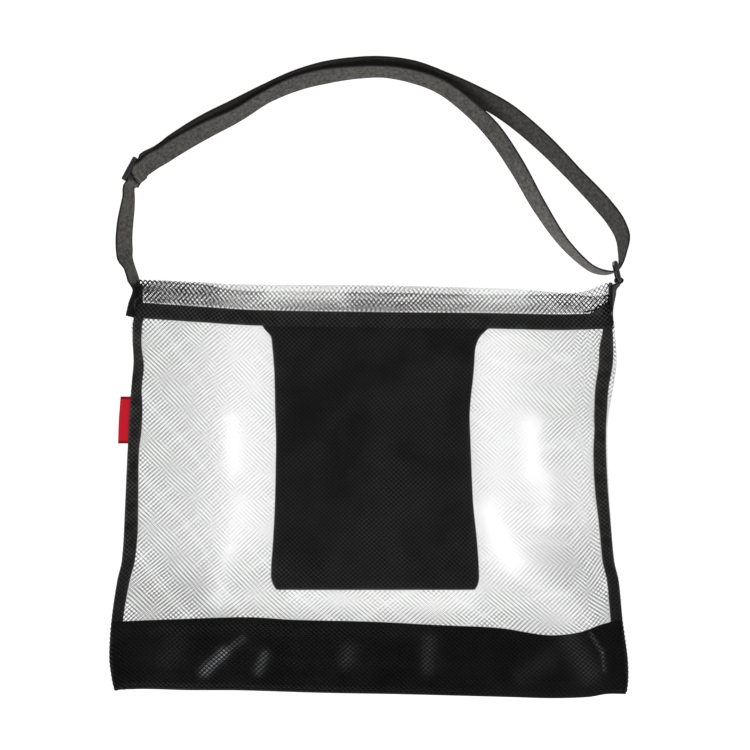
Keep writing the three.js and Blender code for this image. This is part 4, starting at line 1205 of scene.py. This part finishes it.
bm = bmesh.new()
glideAxes = (glideAlong, np.cross(glideUpward, glideAlong), glideUpward)
railSize = (2 * spacing + strap["glideBar"], strap["glideRail"], strap["glideSide"])
for side in (-1, 1):
    spot = glideOrigin + glideUpward * side * (glideHalf - strap["glideSide"] / 2)
    roundedBar(bm, railSize, strap["railSoft"], spot, glideAxes)
for along in (-spacing, 0, spacing):
    length = 2 * glideHalf - strap["glideSide"]
    roundBar(bm, strap["glideBar"] / 2, length, glideOrigin + glideAlong * along, glideAxes)
bmesh.ops.recalc_face_normals(bm, faces=bm.faces)
keep(fromBmesh("glide_frame", bm, 35), moulded, "hardware", "tri_glide")

ringSide = np.cross(ringOut, upright)
loop = []
for quarter, (deep, high) in enumerate([(1, 1), (-1, 1), (-1, -1), (1, -1)]):
    for k in range(9):
        turn = math.pi / 2 * (quarter + k / 8)
        inward = ringOut * math.cos(turn) + upright * math.sin(turn)
        corner = ringOut * deep * (ringDeep - strap["ringCorner"])
        corner = corner + upright * high * (ringHigh - strap["ringCorner"])
        loop.append((ringOrigin + corner + inward * strap["ringCorner"], inward))
bm = bmesh.new()
rings = []
for spot, inward in loop:
    ring = []
    for k in range(16):
        turn = 2 * math.pi * k / 16
        p = spot + (inward * math.cos(turn) + ringSide * math.sin(turn)) * strap["ringBar"] / 2
        ring.append(bm.verts.new(toMetres(p)))
    rings.append([bm.edges.new((ring[k], ring[(k + 1) % 16])) for k in range(16)])
for a, b in zip(rings, rings[1:] + rings[:1]):
    bmesh.ops.bridge_loops(bm, edges=a + b)
bmesh.ops.recalc_face_normals(bm, faces=bm.faces)
keep(fromBmesh("ring_bar", bm, 60), moulded, "hardware", "ring")

zipMetal = material(
    "zip_metal", [(0.012, 0.012, 0.013), (0.03, 0.03, 0.031)], wear(220.0), (0.32, 0.5),
    Metallic=0.6,
)
for name in ("zip_slider", "zip_pull"):
    for slot in nodes[name].material_slots:
        slot.material = zipMetal
print("hardware made")

# Zip coil: one turn of thread after another, on both sides of the middle line
coil = {
    "pitch": 1.15, "thread": 0.34, "slant": 0.25, "inset": 0.35, "ends": 0.7,
    "fromSeam": 6.0, "slider": 9.0,
}
coilStart = leftEdge(height) + coil["fromSeam"] + bag["bindingWidth"]
coilEnd = rightEdge(zipLow) - wall - coil["slider"] - clear
xs = np.arange(coilStart + coil["ends"], coilEnd - coil["ends"], coil["pitch"])
ys = zipTop(xs) - bag["coilThickness"] / 2
zs = backHigh(xs, ys) + 2 * gap + bag["zipTapeWall"] + bag["coilWidth"] / 2
turn = np.linspace(0, 2 * math.pi, 13)
tall = bag["coilThickness"] / 2 - coil["inset"]
deep = bag["coilWidth"] / 2 - coil["inset"]
swing, lean = np.sin(turn) * tall, np.sin(turn) * coil["slant"]
oneTurn = np.stack([lean, swing, np.cos(turn) * deep], axis=-1)
centres = np.stack([xs, ys, zs], axis=-1)
lines = [(oneTurn + centre, np.full(13, coil["thread"])) for centre in centres]
zipPlastic = material(
    "zip_plastic", [(0.012, 0.012, 0.012), (0.03, 0.03, 0.03)], wear(300.0), (0.35, 0.5)
)
keep(tubes("zip_coil_turns", lines, sides=5), zipPlastic, "zip_plastic", "zip_coil")

# Side label: a folded tag of woven ribbon, left bare
label = {
    "length": 47.0, "width": 10.8, "thickness": 1.0, "up": 0.657, "tuck": 1.0, "hem": (3.4, 2.2),
}


def labelPlace(u, v):
    across, side = aroundTape(u, 0.45)
    y = label["up"] * height + label["length"] * (v - 0.5)
    x = leftEdge(y) + label["tuck"] - across * label["width"]
    z = backHigh(leftEdge(y), y) - wall / 2 + label["thickness"] * (0.5 + 0.48 * side)
    return np.stack([x, y, z], axis=-1)


def labelShade(place):
    middle = (label["up"] * height + shift[1]) / 1000
    ends = (place.axis("Y") - middle).size()
    low, high = ((label["length"] / 2 - inset) / 1000 for inset in label["hem"])
    return ends.between(low, high) * 0.75 + place.noise(500.0) * 0.2


labelCloth = material(
    "label", [(0.7, 0.007, 0.025), (0.2, 0.003, 0.01)], labelShade, (0.6, 0.75),
    weave(0.7), 0.5, 0.00015, Specular_IOR_Level=0.15,
)
keep(closedStrip("label_tag", 24, 40, labelPlace), labelCloth, "label", "side_label")
print("coil and label made")


# Stitches: how far apart and how large, along the cloths' edges and the bindings, and how far in
stitch = {
    "pitch": 2.6, "size": (1.0, 0.2, 0.12), "bindingPitch": 2.8, "bindingSize": (1.05, 0.22, 0.14),
    "ends": 238.0, "hemInset": 7.0, "tapeInset": 3.2, "pocketInset": 3.2, "bindingAcross": 0.82,
    "pocketFrom": -92.0, "pocketTo": 99.0,
}


def stitchRow(xs, ys, heights, pitch, size):
    points = np.stack([xs, ys, heights], axis=-1)
    runs = np.concatenate([[0], np.cumsum(np.linalg.norm(np.diff(points, axis=0), axis=1))])
    spots = np.arange(pitch / 2, runs[-1], pitch)
    here, on = (
        np.stack([np.interp(spots + ahead, runs, points[:, k]) for k in range(3)], axis=-1)
        for ahead in (0.0, 0.2)
    )
    return grains(here, on - here + 1e-9, np.tile(upright, (len(spots), 1)), size)


def onCloth(xs, ys, heights, above=0.05):
    return stitchRow(xs, ys, heights + above, stitch["pitch"], stitch["size"])


xs = np.linspace(-stitch["ends"], stitch["ends"], 240)
bandRow, tapeRow = bandEdge(xs) - stitch["hemInset"], zipTop(xs) - stitch["tapeInset"]
rows = [onCloth(xs, bandRow, roof(xs, bandRow) - gap, 0.08)]
rows.append(onCloth(xs, tapeRow, roof(xs, tapeRow) - gap))
for side in ("left", "right"):
    xs, ys = paths[side](np.linspace(0.02, 0.99, 200), stitch["bindingAcross"])
    top = backHigh(xs, ys) + gap + liningRoom(ys) + bag["bindingThickness"] * 0.93
    rows.append(stitchRow(xs, ys, top, stitch["bindingPitch"], stitch["bindingSize"]))
ys = pocketBottom + np.linspace(0.012, 0.97, 160) * pocket["depth"]
for edge, sign in zip(pocketSides(ys), (1, -1)):
    line = edge + sign * stitch["pocketInset"]
    rows.append(onCloth(line, ys, pocketUnder(line, ys)))
xs = np.linspace(stitch["pocketFrom"], stitch["pocketTo"], 80)
ys = np.full(80, pocketBottom + stitch["pocketInset"])
rows.append(onCloth(xs, ys, pocketUnder(xs, ys)))
starts = np.cumsum([0] + [len(verts) for verts, _ in rows])
stitches = rawMesh(
    "stitches", np.concatenate([verts for verts, _ in rows]),
    np.concatenate([faces + start for (_, faces), start in zip(rows, starts)]),
)
thread = material("thread", [(0.02, 0.02, 0.02), (0.045, 0.045, 0.045)], wear(400.0), (0.5, 0.65))
keep(stitches, thread, "cloth")
print("stitches made")

# The flat size, in metres, that each cloth was cut to. A net's own surface is less than its panel
bandCut = (bag["bottomWidth"] / 1000, bag["bandHeight"] * 1.05 / 1000)
tapeCut = (bag["topWidth"] / 1000, bag["zipTapeHeight"] / 1000)
for side, mouth in (("front", 0.0), ("back", pocket["mouth"])):
    pocketCut = (pocket["width"] / 1000, (pocket["depth"] - mouth) / 1000)
    for name, cut, held, under in (
        ("band", bandCut, "stretched", f"net_{side}_left"),
        ("zip_tape", tapeCut, "stretched", f"net_{side}_left"),
        ("pocket", pocketCut, "hung", "zip_tape_front_cloth"),
    ):
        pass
